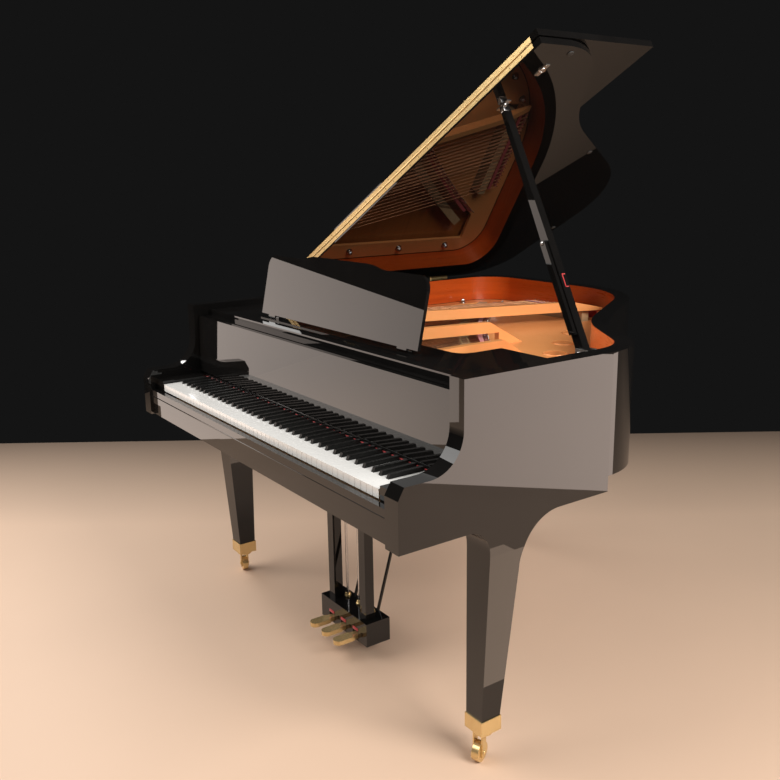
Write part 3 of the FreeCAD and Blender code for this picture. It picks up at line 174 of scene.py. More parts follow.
def grainWood(name):  # straight grain with pores, varnished
    light, dark, ways, gloss, fine, varnish = woods[name]
    finish = Finish(name, Coat_Weight=varnish, Coat_Roughness=grain["varnishRough"])
    stretch = [grain["stretch"] if letter in ways else 1.0 for letter in "XYZ"]
    rings = finish.noise(grain["rings"] * fine, 6.0, stretch, 0.62)
    pores = finish.noise(grain["pores"] * fine, 3.0, stretch, 0.7)
    broad = finish.noise(grain["broad"], 2.0, stretch)
    tone = finish.ramp(rings * 0.7 + broad * 0.3, [(0.30, dark), (0.52, light), (0.72, dark)])
    finish.feed("Base Color", finish.blend(pores * grain["poreShade"], tone, dark))
    finish.feed("Roughness", gloss + grain["poreRough"] * pores)
    finish.bump(pores + rings * 0.4, *grain["bump"])
    return finish.material


goldLook = {"deep": (0.72, 0.23, 0.055), "pale": (0.91, 0.37, 0.115), "fleck": (0.97, 0.54, 0.22),
            "castScale": 140.0, "fleckScale": 900.0, "broadScale": 5.0, "bump": (0.12, 0.0006)}


def goldPaint():  # bronze paint over sand-cast iron
    finish = Finish("goldPaint", Coat_Weight=0.12, Coat_Roughness=0.2)
    cast = finish.noise(goldLook["castScale"], 4.0)
    fleck = finish.noise(goldLook["fleckScale"], 1.0)
    broad = finish.noise(goldLook["broadScale"], 3.0)
    tone = finish.blend(broad, goldLook["deep"], goldLook["pale"])
    finish.feed("Base Color", finish.blend(fleck * 0.5, tone, goldLook["fleck"]))
    finish.feed("Metallic", 0.10 + 0.2 * fleck)
    finish.feed("Roughness", 0.30 + 0.18 * cast)
    finish.bump(cast, *goldLook["bump"])
    return finish.material


metalLook = {"brass": ((0.80, 0.60, 0.30), (0.62, 0.43, 0.18)), "brassRough": 0.20, "brassPurity": 0.72,
             "nickel": ((0.62, 0.60, 0.57), (0.46, 0.44, 0.41)), "fittingRough": 0.34,
             "steel": ((0.62, 0.62, 0.63), (0.46, 0.45, 0.44)), "steelRough": 0.16,
             "tarnishScale": 34.0, "tarnishRough": 0.16, "scratchScale": 300.0, "brush": (1, 6, 1),
             "propSide": 0.20, "cupBand": (0.600, 0.640), "rimBand": (0.0, 2.0)}  # places in metres


def metal(name, tones, gloss, brush=(1, 1, 1), purity=1.0):  # polished metal with a little tarnish
    finish = Finish(name, Metallic=purity)
    tarnish = finish.noise(metalLook["tarnishScale"], 5.0)
    scratch = finish.noise(metalLook["scratchScale"], 2.0, brush)
    finish.feed("Base Color", finish.blend(tarnish, *tones))
    finish.feed("Roughness", gloss + metalLook["tarnishRough"] * tarnish * scratch)
    finish.bump(scratch, 0.02, 0.0002)
    return finish.material


def fittings(name, nickelBand):  # brass hinges, with the prop's own fittings in nickel
    finish = Finish(name, Metallic=1.0)
    tarnish = finish.noise(metalLook["tarnishScale"], 5.0)
    scratch = finish.noise(metalLook["scratchScale"], 2.0, metalLook["brush"])
    brass = finish.blend(tarnish, *metalLook["brass"])
    nickel = finish.blend(tarnish, *metalLook["nickel"])
    low, high = (edge + shift.y for edge in nickelBand)
    mask = (finish.axis("X") > metalLook["propSide"]) * (finish.axis("Y") > low) * (finish.axis("Y") < high)
    finish.feed("Base Color", finish.blend(mask, brass, nickel))
    finish.feed("Roughness", metalLook["fittingRough"] + metalLook["tarnishRough"] * tarnish * scratch)
    finish.bump(scratch, 0.04, 0.0002)
    return finish.material


copperLook = {"bright": (0.72, 0.34, 0.17), "dull": (0.50, 0.22, 0.11), "turnScale": 180.0, "ageScale": 20.0}


def copperWinding():  # close copper turns on the bass strings
    finish = Finish("copperWinding", Metallic=1.0)
    turns = finish.node("ShaderNodeTexWave", {"wave_type": "BANDS", "bands_direction": "Y"},
                        {"Vector": finish.place, "Scale": copperLook["turnScale"], "Distortion": 0.2})
    age = finish.noise(copperLook["ageScale"])
    finish.feed("Base Color", finish.blend(age, copperLook["bright"], copperLook["dull"]))
    finish.feed("Roughness", 0.26 + 0.2 * age)
    finish.bump(turns, 0.5, 0.0003)
    return finish.material


keyLook = {"top": 0.737, "plate": 0.0026, "front": 0.0285, "rise": 0.010,  # heights and depth in metres
           "acrylic": ((0.78, 0.78, 0.76), (0.70, 0.69, 0.66)),
           "wood": ((0.60, 0.44, 0.27), (0.78, 0.62, 0.42)),
           "sharp": ((0.006, 0.006, 0.006), (0.011, 0.011, 0.010)), "sharpShine": 0.15}


def whiteKeys():  # acrylic top and front on a pale wooden key
    finish = Finish("whiteKeys", Coat_Weight=0.4, Coat_Roughness=0.05)
    wear = finish.noise(45.0, 3.0)
    streak = finish.noise(30.0, 5.0, (1.0, 0.08, 1.0))
    acrylic = finish.blend(wear * 0.3, *keyLook["acrylic"])
    wood = finish.blend(streak, *keyLook["wood"])
    onTop = finish.axis("Z") > keyLook["top"] - keyLook["plate"]
    inFront = finish.axis("Y") < keyLook["front"] + shift.y
    mask = finish.larger(onTop, inFront)
    finish.feed("Base Color", finish.blend(mask, wood, acrylic))
    finish.feed("Roughness", 0.5 - 0.36 * mask + 0.08 * wear)
    finish.bump(wear + streak, 0.015, 0.0003)
    return finish.material


def blackKeys():  # matt black sharps, smoother where fingers polish the top
    finish = Finish("blackKeys", Specular_IOR_Level=keyLook["sharpShine"])
    wear = finish.noise(70.0, 4.0)
    polish = finish.axis("Z") > keyLook["top"] + 0.6 * keyLook["rise"]
    finish.feed("Base Color", finish.blend(wear, *keyLook["sharp"]))
    finish.feed("Roughness", 0.34 - 0.12 * polish + 0.1 * wear)
    finish.bump(finish.noise(500.0, 2.0, (1.0, 0.2, 1.0)), 0.03, 0.0002)
    return finish.material


feltLook = {"deep": (0.30, 0.006, 0.010), "pale": (0.56, 0.030, 0.030), "sheen": 0.4, "rough": 0.95,
            "clumpScale": 160.0, "fibreScale": 1400.0, "bump": (0.5, 0.0008)}


def redFelt():  # pressed wool with loose fibres
    finish = Finish("redFelt", Sheen_Weight=feltLook["sheen"], Roughness=feltLook["rough"])
    clump = finish.noise(feltLook["clumpScale"], 5.0)
    fibre = finish.noise(feltLook["fibreScale"], 2.0, (1.0, 0.3, 1.0), 0.8)
    finish.feed("Base Color", finish.blend(clump * 0.6 + fibre * 0.4, feltLook["deep"], feltLook["pale"]))
    finish.bump(clump + fibre, *feltLook["bump"])
    return finish.material


dampLook = {"plainFelt": (0.8977, 0.9012), "bassFelt": (0.9125, 0.9160), "wireTop": 0.8975, "slack": 0.0002,
            "head": ((0.010, 0.010, 0.010), (0.018, 0.018, 0.018)),
            "felt": ((0.62, 0.60, 0.54), (0.80, 0.78, 0.72)),
            "wire": (0.55, 0.53, 0.50)}


def damperFinish():  # black heads on white felt, with bright wires and a rail below
    finish = Finish("damperFinish", Coat_Weight=0.2)
    height = finish.axis("Z")
    fuzz = finish.noise(700.0, 3.0)
    plain, bass = ((height > dampLook[band][0] - dampLook["slack"]) * (height < dampLook[band][1])
                   for band in ("plainFelt", "bassFelt"))
    woolly = plain + bass
    wire = height < dampLook["wireTop"]
    head = finish.blend(woolly, finish.blend(fuzz, *dampLook["head"]), finish.blend(fuzz, *dampLook["felt"]))
    finish.feed("Base Color", finish.blend(wire, head, dampLook["wire"]))
    finish.feed("Metallic", wire * 0.9)
    finish.feed("Roughness", 0.25 + 0.6 * woolly + 0.1 * fuzz)
    finish.bump(fuzz, 0.1, 0.0004)
    return finish.material


hammerLook = {"headLow": 0.826, "headFront": 0.4175, "wood": ((0.52, 0.34, 0.18), (0.72, 0.54, 0.33)),
              "felt": ((0.70, 0.67, 0.60), (0.84, 0.82, 0.76))}


def actionFinish():  # maple levers and shanks with white felt hammer heads
    finish = Finish("actionFinish", Coat_Weight=0.1)
    streak = finish.noise(60.0, 4.0, (1.0, 0.1, 1.0))
    wool = finish.noise(500.0, 3.0)
    head = (finish.axis("Z") > hammerLook["headLow"]) * (finish.axis("Y") > hammerLook["headFront"] + shift.y)
    wood = finish.blend(streak, *hammerLook["wood"])
    finish.feed("Base Color", finish.blend(head, wood, finish.blend(wool, *hammerLook["felt"])))
    finish.feed("Roughness", 0.45 + 0.45 * head + 0.05 * streak)
    finish.bump(wool + streak, 0.12, 0.0004)
    return finish.material


rubberLook = {"deep": (0.018, 0.018, 0.018), "dusty": (0.045, 0.043, 0.040), "dustScale": 220.0}


def rubber():  # dull and a little dusty
    finish = Finish("rubber")
    dust = finish.noise(rubberLook["dustScale"], 4.0)
    finish.feed("Base Color", finish.blend(dust, rubberLook["deep"], rubberLook["dusty"]))
    finish.feed("Roughness", 0.62 + 0.2 * dust)
    finish.bump(dust, 0.1, 0.0003)
    return finish.material


looks = {
    "black": blackPolish(), "gold": goldPaint(), "copper": copperWinding(), "white": whiteKeys(),
    "sharp": blackKeys(), "redFelt": redFelt(), "damper": damperFinish(), "action": actionFinish(),
    "rubber": rubber(),
    "steel": metal("brightSteel", metalLook["steel"], metalLook["steelRough"]),
    "brass": metal("brass", metalLook["brass"], metalLook["brassRough"], metalLook["brush"],
                   metalLook["brassPurity"]),
    "lidMetal": fittings("lidFittings", metalLook["cupBand"]),
    "rimMetal": fittings("rimFittings", metalLook["rimBand"]),
    **{name: grainWood(name) for name in woods},
}
print("finishes:", len(looks))

nodeLooks = {  # every other node is black
    "beechRim": ["inner_rim"], "spruceBoard": ["soundboard"],
    "sprucePosts": ["back_posts", "belly_rail", "key_frame"],
    "mapleBridge": ["bridges", "pin_block"], "gold": ["cast_iron_plate"], "copper": ["wound_strings"],
    "steel": ["plate_bolts", "tuning_pins", "plain_strings", "soft_rod", "sostenuto_rod", "sustain_rod"],
    "brass": ["leg_ferrules"] + [name for name in nodes if name.endswith(("_pedal", "_fork", "_wheel"))],
    "lidMetal": ["lid_fittings", "flap_hinge_leaf"], "rimMetal": ["rim_fittings"],
    "white": [name for name in nodes if name.startswith("keys_") and "sharp" not in name],
    "sharp": [name for name in nodes if name.startswith("keys_") and "sharp" in name],
    "damper": ["dampers"], "action": ["action_stack"],
}
edgeRound = {  # how far each node's sharp edges are eased, in millimetres
    "outer_rim": 1.6, "lid_main": 2.0, "lid_flap": 2.0, "music_desk": 1.5, "fallboard": 2.0, "key_slip": 1.2,
    "key_blocks": 1.5, "music_shelf": 1.5, "keybed": 1.5, "front_left_leg": 1.5, "front_right_leg": 1.5,
    "rear_leg": 1.5, "leg_ferrules": 1.5, "lyre": 1.5, "lid_prop": 2.0, "short_prop": 1.2,
    "cast_iron_plate": 2.0, "stretcher": 1.0, "front_right_caster_wheel": 2.0, "front_left_caster_wheel": 2.0,
    "rear_caster_wheel": 2.0, "bridges": 1.5, "soft_pedal": 2.5, "sostenuto_pedal": 2.5, "sustain_pedal": 2.5,
}
keyRound = 0.7  # the same for all the keys
sharpFrom = 40  # degrees between two faces at which an edge is eased


def dressNodes():  # a finish and eased edges for each node
    lookOf = {name: look for look, names in nodeLooks.items() for name in names}
    for name, item in nodes.items():
        item.data.materials.clear()
        item.data.materials.append(looks[lookOf.get(name, "black")])
        width = edgeRound.get(name, keyRound if name.startswith("keys_") else 0.0)
        if width:
            bevel = item.modifiers.new("easedEdges", "BEVEL")
            bevel.width = width / 1000
            bevel.segments = 3
            bevel.limit_method = "ANGLE"
            bevel.angle_limit = math.radians(sharpFrom)
            bevel.use_clamp_overlap = True
            bevel.harden_normals = True


def piece(name, work, look, body, smooth=40):  # a mesh made here, riding on a body
    mesh = bpy.data.meshes.new(name)
    bmesh.ops.recalc_face_normals(work, faces=work.faces)
    work.to_mesh(mesh)
    work.free()
    for face in mesh.polygons:
        face.use_smooth = True
    mesh.set_sharp_from_angle(angle=math.radians(smooth))
    mesh.materials.append(looks[look])
    item = bpy.data.objects.new(name, mesh)
    bpy.context.scene.collection.objects.link(item)
    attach(item, body)


def addBox(work, low, high, ease):  # a block with eased edges, between two corners in metres
    made = bmesh.ops.create_cube(work, size=1.0)
    spot = Matrix.Translation((low + high) / 2) @ Matrix.Diagonal((*(high - low), 1.0))
    bmesh.ops.transform(work, matrix=spot, verts=made["verts"])
    edges = list({edge for vert in made["verts"] for edge in vert.link_edges})
    bmesh.ops.bevel(work, geom=edges, offset=ease, segments=2, affect="EDGES", profile=0.5)


def addTurned(work, profile, centre, axis, steps, hollow=False):  # rings of (radius, height) about an axis
    turn = up.rotation_difference(axis).to_matrix()
    rings = []
    for radius, height in profile:
        angles = [2 * math.pi * step / steps for step in range(steps)]
        spots = [Vector((radius * math.cos(angle), radius * math.sin(angle), height)) for angle in angles]
        rings.append([work.verts.new(centre + turn @ (spot / 1000)) for spot in spots])
    pairs = list(zip(rings, rings[1:] + rings[:1])) if hollow else list(zip(rings, rings[1:]))
    for low, high in pairs:
        for step in range(steps):
            follow = (step + 1) % steps
            work.faces.new((low[step], low[follow], high[follow], high[step]))
    if not hollow:
        work.faces.new(rings[0][::-1])
        work.faces.new(rings[-1])


def addRun(work, sections):  # skins a row of four-cornered sections, and closes both ends
    rings = [[work.verts.new(spot) for spot in section] for section in sections]
    for one, two in zip(rings, rings[1:]):
        for side in range(4):
            follow = (side + 1) % 4
            work.faces.new((one[side], one[follow], two[follow], two[side]))
    work.faces.new(rings[0])
    work.faces.new(rings[-1][::-1])


screw = {"profile": ((2.6, 0.0), (2.4, 0.42), (1.8, 0.7)), "slot": 0.5, "arc": 5}


def addScrew(work, centre, axis, size, spin):  # two half discs with the driver slot between them
    turn = up.rotation_difference(axis).to_matrix() @ Matrix.Rotation(spin, 3, "Z")
    arc = screw["arc"]
    for side in (1, -1):
        outline = []
        for radius, height in screw["profile"]:
            reach = math.acos(screw["slot"] / radius)
            angles = [reach * place / arc for place in range(-arc, arc + 1)]
            ring = [Vector((side * radius * math.cos(angle), side * radius * math.sin(angle), height))
                    for angle in angles]
            outline.append([work.verts.new(centre + turn @ (spot * size / 1000)) for spot in ring])
        for low, high in zip(outline, outline[1:]):
            for place in range(2 * arc):
                work.faces.new((low[place], low[place + 1], high[place + 1], high[place]))
            work.faces.new((low[-1], low[0], high[0], high[-1]))
        work.faces.new(outline[0][::-1])
        work.faces.new(outline[-1])


case = {"half": 720.0, "side": 620.0, "bend": 200.0, "bendTurn": 56.0, "waistRun": 150.0, "waist": 520.0,
        "waistTurn": 24.0, "tailRun": 330.0, "tail": 460.0, "corner": 170.0, "depth": 1521.32, "wall": 48.0,
        "step": 2.0}  # millimetres, and degrees for the turns and the step


def polar(centre, radius, angle):
    turn = math.radians(angle)
    return Vector((centre[0] + radius * math.cos(turn), centre[1] + radius * math.sin(turn)))


def casePath(inset, start):  # the case's outline from the treble front round to the bass front
    heading = 90 + case["bendTurn"]
    last = heading - case["waistTurn"]
    bendAt = Vector((case["half"] - case["bend"], case["side"]))
    waistFrom = polar(polar(bendAt, case["bend"], case["bendTurn"]), case["waistRun"], heading)
    waistAt = polar(waistFrom, case["waist"], heading - 90)
    tailFrom = polar(polar(waistAt, case["waist"], last + 90), case["tailRun"], last)
    tailAt = polar(tailFrom, case["tail"], last + 90)
    cornerAt = Vector((case["corner"] - case["half"], case["depth"] - case["corner"]))
    points = [Vector((case["half"] - inset, start))]
    for centre, radius, low, high in ((bendAt, case["bend"] - inset, 0, case["bendTurn"]),
                                      (waistAt, case["waist"] + inset, heading + 90, last + 90),
                                      (tailAt, case["tail"] - inset, last - 90, 90),
                                      (cornerAt, case["corner"] - inset, 90, 180)):
        count = max(2, int(abs(high - low) / case["step"]))
        points += [polar(centre, radius, low + (high - low) * place / count) for place in range(count + 1)]
    points.append(Vector((inset - case["half"], start)))
    return points


lining = {"thick": 0.8, "front": 516.0, "low": 881.0, "high": 972.2}


def makeLining():  # polished veneer inside the rim
    work = bmesh.new()
    low, high = lining["low"], lining["high"]
    paths = zip(*(casePath(case["wall"] + inset, lining["front"]) for inset in (0.0, lining["thick"])))
    addRun(work, [[at(near.x, near.y, low), at(far.x, far.y, low),
                   at(far.x, far.y, high), at(near.x, near.y, high)] for near, far in paths])
    piece("rimVeneerLining", work, "rimVeneer", "case", 30)


keyEdge = {"reach": 616.8, "battenFront": 177.0, "battenBack": 179.6, "battenTop": 751.0, "battenEase": 0.5,
           "feltLow": 738.8, "feltTop": 742.5, "feltProud": 0.6, "feltEase": 0.8, "slipReach": 671.5,
           "slipFront": 5.2, "slipBack": 6.4, "slipLow": 691.0, "slipTop": 694.0, "slipEase": 0.5}


def makeKeyEdges():  # felt-edged batten over the key tails, and a bead along the key slip
    reach, back, front = keyEdge["reach"], keyEdge["battenBack"], keyEdge["battenFront"]
    work = bmesh.new()
    addBox(work, at(-reach, front, keyEdge["feltTop"]), at(reach, back, keyEdge["battenTop"]),
           keyEdge["battenEase"] / 1000)
    piece("keyBatten", work, "black", "case")
    work = bmesh.new()
    addBox(work, at(-reach, front - keyEdge["feltProud"], keyEdge["feltLow"]),
           at(reach, back, keyEdge["feltTop"]), keyEdge["feltEase"] / 1000)
    piece("keyFelt", work, "redFelt", "case")
    work = bmesh.new()
    addBox(work, at(-keyEdge["slipReach"], keyEdge["slipFront"], keyEdge["slipLow"]),
           at(keyEdge["slipReach"], keyEdge["slipBack"], keyEdge["slipTop"]), keyEdge["slipEase"] / 1000)
    piece("keySlipBead", work, "black", "case")


def loose(name):  # the separate solids of a node, as lists of points
    mesh = nodes[name].data
    owner = {}
    spots = []
    index = []
    for vert in mesh.vertices:
        key = tuple(round(part, 5) for part in vert.co)
        if key not in owner:
            owner[key] = len(spots)
            spots.append(vert.co.copy())
        index.append(owner[key])
    chief = list(range(len(spots)))

    def head(place):
        while chief[place] != place:
            chief[place] = chief[chief[place]]
            place = chief[place]
        return place

    for edge in mesh.edges:
        one, two = (head(index[vert]) for vert in edge.vertices)
        chief[one] = two
    groups = {}
    for place, spot in enumerate(spots):
        groups.setdefault(head(place), []).append(spot)
    return list(groups.values())


def lines(name):  # front and back end of each string
    ends = []
    for spots in loose(name):
        spots.sort(key=lambda spot: spot.y)
        middle = len(spots) // 2
        ends.append([sum(part, Vector()) / len(part) for part in (spots[:middle], spots[middle:])])
    return sorted(ends, key=lambda pair: pair[0].x)


def along(pair, depth):  # the point of a string at a depth
    share = (depth - pair[0].y) / (pair[1].y - pair[0].y)
    return pair[0].lerp(pair[1], share)


plainLines = lines("plain_strings")
woundLines = lines("wound_strings")
print("strings read:", len(plainLines), "plain,", len(woundLines), "wound")


def hitchCircle():  # centre and radius of the curve on which the plain strings end
    a, b, c = (Vector(plainLines[place][1].xy) for place in (0, len(plainLines) // 2, -1))
    twice = 2 * (a.x * (b.y - c.y) + b.x * (c.y - a.y) + c.x * (a.y - b.y))
    squares = [spot.length_squared for spot in (a, b, c)]
    x = (squares[0] * (b.y - c.y) + squares[1] * (c.y - a.y) + squares[2] * (a.y - b.y)) / twice
    y = (squares[0] * (c.x - b.x) + squares[1] * (a.x - c.x) + squares[2] * (b.x - a.x)) / twice
    centre = Vector((x, y))
    return centre, (a - centre).length


def crossing(pair, centre, radius):  # where a string meets a circle round the hitch centre
    start = pair[1].xy - centre
    step = (pair[0] - pair[1]).xy.normalized()
    middle = start.dot(step)
    share = -middle + math.sqrt(middle ** 2 - start.length_squared + radius ** 2)
    spot = pair[1].xy + step * share
    return Vector((spot.x, spot.y, pair[0].z))


def addRibbon(work, spots, width, low, high):  # a flat band through points, with its edges across its run
    sections = []
    for place, spot in enumerate(spots):
        run = (spots[min(place + 1, len(spots) - 1)] - spots[max(place - 1, 0)]).xy.normalized()
        side = Vector((-run.y, run.x, 0)) * width / 2000
        corners = ((side, low), (-side, low), (-side, high), (side, high))
        sections.append([Vector((spot.x + reach.x, spot.y + reach.y, height / 1000))
                         for reach, height in corners])
    addRun(work, sections)


pinGear = {"plateTop": 880.0, "agraffeLine": 399.0, "hitchBehind": 1.2, "hitchFoot": ((1.5, 0),),
           "hitchHead": ((1.5, 2.4), (1.2, 3.4), (0.5, 3.8)),
           "agraffeFoot": ((1.9, 0), (1.9, 2.5), (1.4, 3.5)),
           "agraffeHead": ((1.4, -4), (1.7, -2.5), (1.7, 1.6), (1.1, 2.6)),
           "coilRadius": 3.0, "coilWire": 0.55, "coilLow": -3.6, "coilPitch": 0.9,
           "coilRings": 8}  # feet are measured from the plate, heads and coils from the string


def addStud(work, spot, foot, head):  # a turned stud from the plate to a string
    height = spot.z * 1000 - pinGear["plateTop"]
    profile = list(pinGear[foot]) + [(radius, height + rise) for radius, rise in pinGear[head]]
    addTurned(work, profile, Vector((spot.x, spot.y, pinGear["plateTop"] / 1000)), up, 8)


def makeStringPins():  # hitch pins behind, agraffes in front, and the coils on the tuning pins
    strings = plainLines + woundLines
    work = bmesh.new()
    for pair in strings:
        spot = pair[1].copy()
        spot.y += pinGear["hitchBehind"] / 1000
        addStud(work, spot, "hitchFoot", "hitchHead")
    piece("hitchPins", work, "steel", "case")
    work = bmesh.new()
    for pair in strings:
        addStud(work, along(pair, pinGear["agraffeLine"] / 1000 + shift.y), "agraffeFoot", "agraffeHead")
    piece("agraffeStuds", work, "brass", "case")
    work = bmesh.new()
    for spots in loose("tuning_pins"):
        middle = sum(spots, Vector()) / len(spots)
        wound = min(strings, key=lambda pair: (pair[0].xy - middle.xy).length)
        low = wound[0].z * 1000 + pinGear["coilLow"]
        turns = [(pinGear["coilRadius"] + pinGear["coilWire"] * (place % 2),
                  low + pinGear["coilPitch"] * place) for place in range(pinGear["coilRings"])]
        addTurned(work, turns, Vector((middle.x, middle.y, 0)), up, 10)
    piece("pinCoils", work, "steel", "case", 70)


feltGear = {  # distances ahead of the hitch pins, widths, and low and high levels
    "stringBraid": {"ahead": 22.0, "bassAhead": 37.0, "wide": 13.0, "levels": (893.4, 898.4),
                    "bassLevels": (907.0, 912.8)},
    "hitchFelt": {"ahead": 6.5, "bassAhead": 6.5, "wide": 8.0, "levels": (880.0, 895.3),
                  "bassLevels": (880.0, 908.5)},
}
feltEvery = 3  # every third string is enough for the curve


def makeStringFelts():  # red braid woven between the strings, and felt under their ends
    centre, radius = hitchCircle()
    bassEnd = woundLines[0][1].y
    for name, felt in feltGear.items():
        work = bmesh.new()
        spots = [crossing(pair, centre, radius + felt["ahead"] / 1000) for pair in plainLines[::feltEvery]]
        addRibbon(work, spots, felt["wide"], *felt["levels"])
        spots = [along(pair, bassEnd - felt["bassAhead"] / 1000) for pair in woundLines]
        addRibbon(work, spots, felt["wide"], *felt["bassLevels"])
        piece(name, work, "redFelt", "case", 60)


bridgeGear = {"trebleEnd": (612.0, 456.4), "tailEnd": (-496.8, 1369.2), "from": 57.0, "shares": (0.03, 0.9),
              "rows": ((6.0, 1.1), (26.0, -1.1)), "top": 895.0, "pin": ((0.6, 0), (0.6, 2.6), (0.3, 3.2)),
              "bassRows": ((73.0, 2.1), (53.0, -2.1)), "bassTop": 908.0,
              "bassPin": ((0.8, 0), (0.8, 3.6), (0.4, 4.4))}  # rows give a distance and a step sideways


def makeBridgePins():  # two rows of pins, which lead each string sideways over its bridge
    centre, radius = hitchCircle()
    ends = [at(*bridgeGear[end], 0).xy - centre for end in ("tailEnd", "trebleEnd")]
    low, high = (math.atan2(end.y, end.x) % (2 * math.pi) for end in ends)
    work = bmesh.new()
    for pair in plainLines:
        for ahead, aside in bridgeGear["rows"]:
            spot = crossing(pair, centre, radius + (bridgeGear["from"] + ahead) / 1000)
            turn = math.atan2(spot.y - centre.y, spot.x - centre.x) % (2 * math.pi)
            share = (turn - low) / (high - low)
            if bridgeGear["shares"][0] < share < bridgeGear["shares"][1]:
                foot = Vector((spot.x + aside / 1000, spot.y, bridgeGear["top"] / 1000))
                addTurned(work, bridgeGear["pin"], foot, up, 6)
    for pair in woundLines:
        for behind, aside in bridgeGear["bassRows"]:
            spot = along(pair, pair[1].y - behind / 1000)
            foot = Vector((spot.x + aside / 1000, spot.y, bridgeGear["bassTop"] / 1000))
            addTurned(work, bridgeGear["bassPin"], foot, up, 6)
    piece("bridgePins", work, "brass", "case")


plateTrim = {"holes": ((0.60, 0.475), (0.45, 0.55), (0.31, 0.64), (0.17, 0.735)), "hole": 32.0,
             "lip": ((0, -1.0), (0, 1.6), (1.2, 2.6), (3.6, 2.6), (5.0, 0.8), (5.0, -0.2)),
             "nut": ((8.6, 0), (8.6, 2.0), (8.0, 4.0), (6.4, 6.2), (3.8, 7.8), (1.4, 8.4)),
             "washer": ((9.0, -8.9), (14.0, -8.9), (14.0, -7.4), (9.0, -6.8))}  # holes as shares of the case


def makePlateTrim():  # raised lips round the plate's holes, and domed nuts on its bolts
    work = bmesh.new()
    lip = [(plateTrim["hole"] + out, height) for out, height in plateTrim["lip"]]
    for x, y in plateTrim["holes"]:
        addTurned(work, lip, at(x * case["half"], y * case["depth"], pinGear["plateTop"]), up, 48, True)
    piece("plateHoleLips", work, "gold", "case")
    work = bmesh.new()
    for spots in loose("plate_bolts"):
        top = max(spot.z for spot in spots)
        middle = sum(spots, Vector()) / len(spots)
        if top * 1000 > pinGear["plateTop"]:
            addTurned(work, plateTrim["nut"], Vector((middle.x, middle.y, top)), up, 6)
            addTurned(work, plateTrim["washer"], Vector((middle.x, middle.y, top)), up, 24, True)
    piece("plateNuts", work, "steel", "case")


lid = {"axis": (-726.0, 974.5), "angle": 28.3, "bottom": 976.0, "cups": (477.0, 627.0), "cupDepth": 618.0,
       "cupRim": ((7.4, 1.4), (7.4, 3.2), (8.2, 3.5), (9.4, 3.0), (9.8, 1.8)), "cupScrews": (-16.5, 16.5),
       "cupPlate": 2.0, "buttons": ((694.0, 650.0), (250.0, 1152.0), (-300.0, 1497.0), (-696.0, 900.0)),
       "button": ((9.0, 0), (9.0, 1.0), (8.4, 2.0), (6.5, 2.5), (2.0, 2.7))}
lidTurn = math.radians(lid["angle"])
lidSide = Vector((math.cos(lidTurn), 0, math.sin(lidTurn)))
lidUp = Vector((-math.sin(lidTurn), 0, math.cos(lidTurn)))


def onLid(x, y, z):  # a point given with the lid shut, at its place on the open lid
    axis = at(lid["axis"][0], y, lid["axis"][1])
    return axis + lidSide * (x - lid["axis"][0]) / 1000 + lidUp * (z - lid["axis"][1]) / 1000


hingeScrews = {"front": 532.5, "first": -650.0, "pitch": 45.0, "count": 30,
               "size": 0.9,  # the leaves below give name, body, level and stagger
               "leaves": (("lidHingeScrews", "lid", 986.8, 0.0), ("flapHingeScrews", "flap", 1003.8, 0.5)),
               "butts": (640.0, 1240.0), "buttFace": -723.0, "lidLevel": 987, "lidSize": 1.1, "rimSize": 1.2,
               "rimHoles": ((-28, 945), (-10, 957), (10, 945), (28, 957)), "lidHoles": (-30, -10, 10, 30)}


def anyTurn():  # a chance angle for a screw's slot
    return random.uniform(0, math.pi)


def makeHingeScrews():  # the long strip hinge, staggered so that its leaves can close, and two side hinges
    for name, body, level, stagger in hingeScrews["leaves"]:
        work = bmesh.new()
        for place in range(hingeScrews["count"]):
            x = hingeScrews["first"] + (place + stagger) * hingeScrews["pitch"]
            spot = onLid(x, hingeScrews["front"], level)
            addScrew(work, spot, Vector((0, -1, 0)), hingeScrews["size"], anyTurn())
        piece(name, work, "brass", body)
    rimWork = bmesh.new()
    lidWork = bmesh.new()
    face = hingeScrews["buttFace"]
    for depth in hingeScrews["butts"]:
        for offset, level in hingeScrews["rimHoles"]:
            spot = at(face, depth + offset, level)
            addScrew(rimWork, spot, Vector((-1, 0, 0)), hingeScrews["rimSize"], anyTurn())
        for offset in hingeScrews["lidHoles"]:
            spot = onLid(face, depth + offset, hingeScrews["lidLevel"])
            addScrew(lidWork, spot, -lidSide, hingeScrews["lidSize"], anyTurn())
    piece("rimButtScrews", rimWork, "brass", "case")
    piece("lidButtScrews", lidWork, "brass", "lid")


def makeLidGear():  # rubber buttons, and the raised rims of the prop's cups
    work = bmesh.new()
    for x, y in lid["buttons"]:
        addTurned(work, lid["button"], onLid(x, y, lid["bottom"]), -lidUp, 24)
    piece("lidButtons", work, "rubber", "lid")
    work = bmesh.new()
    for x in lid["cups"]:
        addTurned(work, lid["cupRim"], onLid(x, lid["cupDepth"], lid["bottom"]), -lidUp, 32, True)
        for offset in lid["cupScrews"]:
            spot = onLid(x + offset, lid["cupDepth"], lid["bottom"] - lid["cupPlate"])
            addScrew(work, spot, -lidUp, 1.0, offset)
    piece("propCupRims", work, "steel", "lid")


prop = {"foot": (650.0, 597.0, 962.0), "gap": 4.0, "depth": 22.0, "width": 24.0, "markEnds": (165.0, 200.0),
        "markSides": (-4.0, 7.0), "markBand": 2.5, "markFace": (-0.2, 1.8), "markEase": 0.6,
        "pinOut": 7.5, "pinHead": ((5.6, 0), (5.6, 1.0), (4.6, 2.2), (2.2, 2.9)), "stickStart": 285.0,
        "rivetOut": 10.5, "rivet": ((5.0, 0), (5.0, 0.8), (4.0, 1.8), (1.8, 2.4)),
        "shoeLow": (-7.4, -11.6, -16.0), "shoeHigh": (7.4, 11.6, 0.6), "shoeEase": 1.2}


